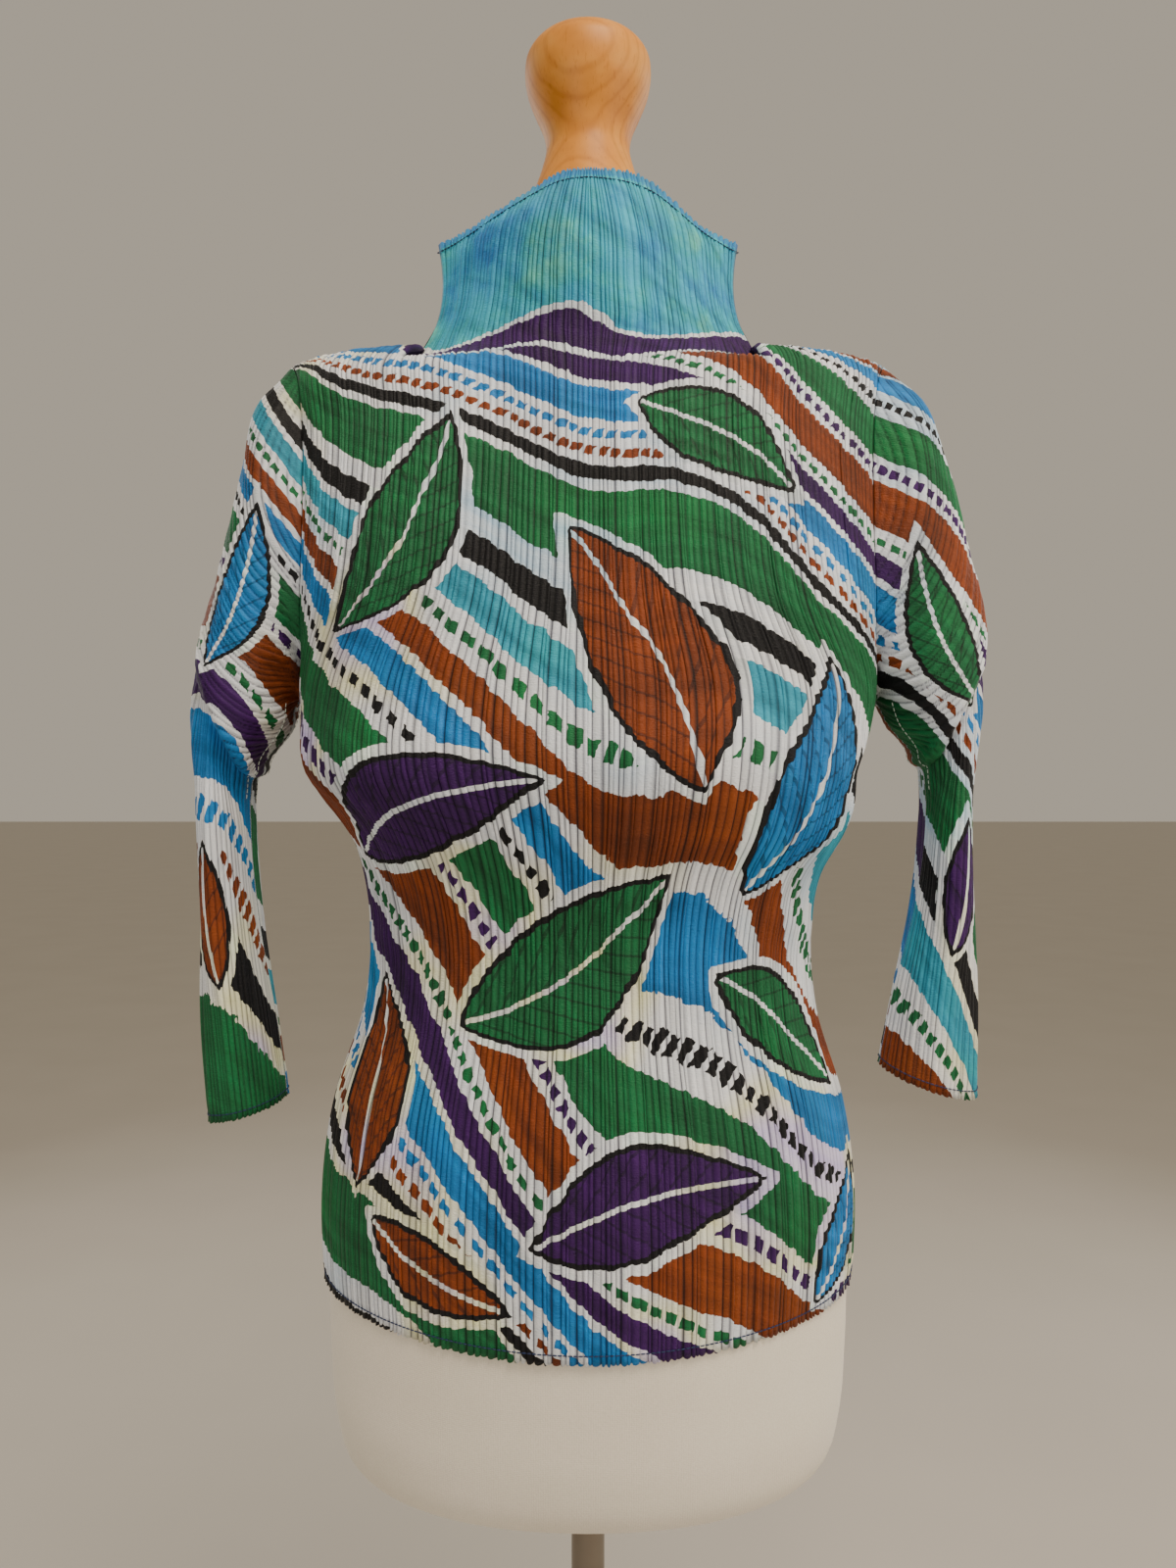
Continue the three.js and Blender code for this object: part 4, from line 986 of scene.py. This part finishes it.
    colour = add(tree, "Mix", {0: lit, 6: colour, 7: linear("2f7ac4")}, data_type="RGBA").outputs[2]

    rough = add(tree, "ValToRGB", {0: wash}, [(0.3, even(0.5)), (0.7, even(0.64))])
    weave = add(tree, "TexNoise", {"Vector": place, "Scale": NOISE_MM / 0.9, "Detail": 2.0})
    drawn = add(tree, "Mapping", {"Vector": place, "Scale": (0.4, 0.4, 1.0)})
    crimp = add(tree, "TexNoise", {"Vector": drawn, "Scale": NOISE_MM / 0.8, "Detail": 2.0})
    relief = add(tree, "Math", {0: crimp, 1: 1.6, 2: weave}, operation="MULTIPLY_ADD")
    bump = add(tree, "Bump", {"Height": relief, "Strength": 0.6, "Distance": 0.0006})
    shader = add(tree, "BsdfPrincipled", {
        "Base Color": colour, "Roughness": rough, "Sheen Weight": 0.05, "Sheen Roughness": 0.4,
        "Specular IOR Level": 0.28, "Normal": bump})
    add(tree, "OutputMaterial", {"Surface": shader})
    return made


def cotton_jersey():
    """Undyed cotton jersey pulled smooth over the form: matt, with a fine rib of knit wales. Wales are
    0.9 mm apart and drawn at 1.3 mm."""
    made, tree = new_material("cotton jersey")
    place = add(tree, "TexCoord").outputs["Object"]
    tone = add(tree, "TexNoise", {"Vector": place, "Scale": NOISE_MM / 110, "Detail": 4.0})
    fuzz = add(tree, "TexNoise", {"Vector": place, "Scale": NOISE_MM / 1.1, "Detail": 3.0})
    knots = [add(tree, "TexWave", {"Vector": place, "Scale": WAVE_MM / pitch, "Distortion": 0.6, "Detail": 1.0},
                 bands_direction=axis).outputs["Fac"] for axis, pitch in (("X", 1.3), ("Z", 1.05))]
    cloth = add(tree, "ValToRGB", {0: tone}, [(0.3, linear("e6dcc8")), (0.55, linear("eee4d1")),
                                              (0.75, linear("f2e9d8"))])
    nap = add(tree, "ValToRGB", {0: fuzz}, [(0.35, linear("d6ccb8")), (0.65, linear("f6efe0"))])
    colour = add(tree, "Mix", {0: 0.2, 6: cloth, 7: nap}, data_type="RGBA").outputs[2]
    knit = add(tree, "Math", {0: knots[0], 1: knots[1]}, operation="ADD")
    knit = add(tree, "Math", {0: knit, 1: 0.25, 2: fuzz}, operation="MULTIPLY_ADD")
    bump = add(tree, "Bump", {"Height": knit, "Strength": 0.3, "Distance": 0.0004})
    shader = add(tree, "BsdfPrincipled", {
        "Base Color": colour, "Roughness": 0.9, "Sheen Weight": 0.2, "Normal": bump})
    add(tree, "OutputMaterial", {"Surface": shader})
    return made


def varnished_beech():
    """Turned beech under clear satin varnish: orange-brown, with growth rings 5 mm apart that the turning
    cuts into broad arches, and short dark flecks along the grain."""
    made, tree = new_material("varnished beech")
    place = add(tree, "TexCoord").outputs["Object"]
    # The tree's heart stood behind the block, so its rings show as arches round the front.
    from_heart = add(tree, "Mapping", {"Vector": place, "Location": (-0.012, -0.068, 0.0)})
    rings = add(tree, "TexWave", {"Vector": from_heart, "Scale": WAVE_MM / 5.0, "Distortion": 1.6, "Detail": 2.0,
                                  "Detail Scale": 0.8}, wave_type="RINGS", rings_direction="Z").outputs["Fac"]
    long_grain = add(tree, "Mapping", {"Vector": place, "Scale": (1.0, 1.0, 0.12)})
    cloud = add(tree, "TexNoise", {"Vector": place, "Scale": NOISE_MM / 30, "Detail": 3.0})
    flecks = add(tree, "TexNoise", {"Vector": long_grain, "Scale": NOISE_MM / 1.4, "Detail": 2.0})
    wood = add(tree, "ValToRGB", {0: cloud}, [(0.35, linear("cb8230")), (0.5, linear("d88e38")),
                                              (0.65, linear("e09b47"))])
    lines = add(tree, "ValToRGB", {0: rings}, [(0.0, (0.72, 0.62, 0.5, 1)), (0.22, (0.93, 0.91, 0.88, 1)),
                                               (0.6, even(1.0))])
    dark = add(tree, "ValToRGB", {0: flecks}, [(0.58, even(1.0)), (0.7, (0.8, 0.7, 0.56, 1))])
    colour = wood
    for share, over in ((0.45, lines), (0.6, dark)):
        colour = add(tree, "Mix", {0: share, 6: colour, 7: over}, data_type="RGBA",
                     blend_type="MULTIPLY").outputs[2]
    bump = add(tree, "Bump", {"Height": rings, "Strength": 0.05, "Distance": 0.0006})
    shader = add(tree, "BsdfPrincipled", {
        "Base Color": colour, "Roughness": 0.5, "Coat Weight": 0.12, "Coat Roughness": 0.3,
        "Specular IOR Level": 0.22, "Normal": bump})
    add(tree, "OutputMaterial", {"Surface": shader})
    return made


def chromed_steel():
    """Chrome plate over polished tube: a mirror tinted a dark warm grey, which is painted reflection of the
    brown surroundings, with faint smears, and hairlines round the turning."""
    made, tree = new_material("chromed steel")
    place = add(tree, "TexCoord").outputs["Object"]
    smear = add(tree, "TexNoise", {"Vector": place, "Scale": NOISE_MM / 42, "Detail": 5.0})
    rough = add(tree, "ValToRGB", {0: smear}, [(0.3, even(0.07)), (0.75, even(0.18))])
    # The plate's dark warm grey is painted reflection of brown surroundings; the smears vary it a little.
    plate = add(tree, "ValToRGB", {0: smear}, [(0.3, linear("7d746a")), (0.7, linear("8c847a"))])
    round_turning = add(tree, "Mapping", {"Vector": place, "Scale": (0.2, 0.2, 9.0)})
    hair = add(tree, "TexNoise", {"Vector": round_turning, "Scale": NOISE_MM / 6.2, "Detail": 2.0})
    bump = add(tree, "Bump", {"Height": hair, "Strength": 0.03, "Distance": 0.0003})
    shader = add(tree, "BsdfPrincipled", {
        "Base Color": plate, "Roughness": rough, "Metallic": 1.0, "Normal": bump})
    add(tree, "OutputMaterial", {"Surface": shader})
    return made


def sewing_thread(name, dark, light):
    """Spun polyester thread in two close shades, with the twist of its plies as a fine noise."""
    made, tree = new_material(name)
    place = add(tree, "TexCoord").outputs["Object"]
    twist = add(tree, "TexNoise", {"Vector": place, "Scale": NOISE_MM / 0.67, "Detail": 1.0})
    colour = add(tree, "ValToRGB", {0: twist}, [(0.35, linear(dark)), (0.65, linear(light))])
    bump = add(tree, "Bump", {"Height": twist, "Strength": 0.3, "Distance": 0.0002})
    shader = add(tree, "BsdfPrincipled", {"Base Color": colour, "Roughness": 0.6, "Normal": bump})
    add(tree, "OutputMaterial", {"Surface": shader})
    return made


def matt_paint():
    """Pale emulsion on a level floor, flat all over but for a faint unevenness of the roller."""
    made, tree = new_material("pale matt floor")
    place = add(tree, "TexCoord").outputs["Object"]
    roller = add(tree, "TexNoise", {"Vector": place, "Scale": NOISE_MM / 300, "Detail": 2.0})
    colour = add(tree, "ValToRGB", {0: roller}, [(0.3, linear("c3bbaf")), (0.7, linear("c6beb2"))])
    shader = add(tree, "BsdfPrincipled", {"Base Color": colour, "Roughness": 0.9})
    add(tree, "OutputMaterial", {"Surface": shader})
    return made


def finish(piece, material, slot, *nodes):
    """Gives a piece its material and lets it ride with the part in place of its CAD nodes. The slot is not used.
    """
    piece.data.materials.append(material)
    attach(piece, "root")
    if nodes:
        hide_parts(*nodes)
    return piece


# Cloth
cloth = pleated_polyester()
front_piece, front_made = panel("front", FRONT_SECTIONS, FRONT_COLLAR, -1, 11, 1)
back_piece, back_made = panel("back", BACK_SECTIONS, BACK_COLLAR, 1, 23, -1)
sleeve_right, right_made = sleeve("sleeve_right", front_made, back_made, "right", -1, 37)
sleeve_left, left_made = sleeve("sleeve_left", front_made, back_made, "left", 1, 41)
for piece, node in ((front_piece, "front"), (back_piece, "back"), (sleeve_right, "sleeve_right"),
                    (sleeve_left, "sleeve_left")):
    piece.name = piece.data.name = "top_" + node
    finish(piece, cloth, "pleated_cloth", node)

# Sewing: straight stitches round the hem, the collar's top and the cuffs, and along the underarms
rows = [line for made in (front_made, back_made, right_made, left_made) for line in made["sewn"]]
finish(stitches("edge_stitches", rows, 2.8, 2.5, 0.42),
       sewing_thread("polyester sewing thread, navy", "0f1b3c", "1f3564"), "pleated_cloth")
rows = [line for made in (right_made, left_made) for line in made["underarm"]]
finish(stitches("underarm_stitches", rows, 3.4, 2.6, 0.3),
       sewing_thread("polyester sewing thread, pale", "c3d6c9", "e4ece4"), "pleated_cloth")

# Form and stand
finish(form_torso(), cotton_jersey(), "jersey", "torso")
knob_seat, knob_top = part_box("neck_knob")[0].z / MM, KNOB_PROFILE[-1][0]
# A ring of its own on the flat top keeps the rounded edge's shading off it.
knob_line = [(0.0, 0.0)] + smooth_profile(KNOB_PROFILE, 2.0) + [(14.0, knob_top), (0.0, knob_top)]
finish(lathe("neck_block", knob_line, 128, knob_seat), varnished_beech(), "turned_wood", "neck_knob")
chrome = chromed_steel()
for node, facets, rounding in (("foot", 192, 3.0), ("pole", 96, 0.4), ("flange", 96, 1.2)):
    low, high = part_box(node)
    outline = rounded_disc(high.x / MM, low.z / MM, high.z / MM, rounding)
    finish(lathe("stand_" + node, outline, facets, 0.0), chrome, "chromed_steel", node)
low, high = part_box("socket")
bore, radius, under, over = POLE_RADIUS + SEAM_GAP, high.x / MM, low.z / MM, high.z / MM
socket_line = [(bore, under), (radius, under), (radius, over - 2.0), (radius - 0.6, over - 0.6),
               (radius - 2.0, over), (bore, over)]
finish(lathe("stand_socket", socket_line, 96, 0.0), chrome, "chromed_steel", "socket")

# Floor, light and camera
floor_mesh = bpy.data.meshes.new("floor")
floor_mesh.from_pydata([(-30, -30, 0), (30, -30, 0), (30, 30, 0), (-30, 30, 0)], [], [(0, 1, 2, 3)])
floor_mesh.materials.append(matt_paint())
floor = bpy.data.objects.new("floor", floor_mesh)
bpy.context.scene.collection.objects.link(floor)
floor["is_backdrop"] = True

world = bpy.data.worlds.new("studio")
bpy.context.scene.world = world
world.use_nodes = True
sky = world.node_tree.nodes["Background"]
sky.inputs["Color"].default_value = linear("efe3cf")
sky.inputs["Strength"].default_value = 0.5

# Square lamps, each turned to the bust: place in metres, side, power in watts, colour
middle = (0.0, 0.0, BUST_LINE * MM)
for name, place, side, power, colour in (
        ("key", (0.5, -1.1, 2.7), 0.9, 36, "fff1df"), ("side", (1.9, -0.9, 1.25), 1.4, 16, "fff6ea"),
        ("low_fill", (-0.9, -2.0, 1.0), 0.9, 7, "f4f6ff"), ("rim_left", (-1.6, 1.5, 1.8), 1.6, 14, "ffffff"),
        ("rim_right", (1.7, 1.4, 1.6), 1.6, 14, "ffffff")):
    data = bpy.data.lights.new(name, "AREA")
    data.size, data.energy, data.color = side, power, linear(colour)[:3]
    lamp = bpy.data.objects.new(name, data)
    bpy.context.scene.collection.objects.link(lamp)
    lamp.location = place
    lamp.rotation_euler = (Vector(place) - Vector(middle)).to_track_quat("Z", "Y").to_euler()

camera_data = bpy.data.cameras.new("camera")
camera_data.lens, camera_data.sensor_width, camera_data.sensor_fit = 27.0, 36.0, "AUTO"
camera_data.clip_start = 0.05
camera = bpy.data.objects.new("camera", camera_data)
bpy.context.scene.collection.objects.link(camera)
camera.location = (0.0, -0.744, BUST_LINE * MM)
camera.rotation_euler = (np.pi / 2, 0.0, 0.0)
bpy.context.scene.camera = camera

low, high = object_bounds()
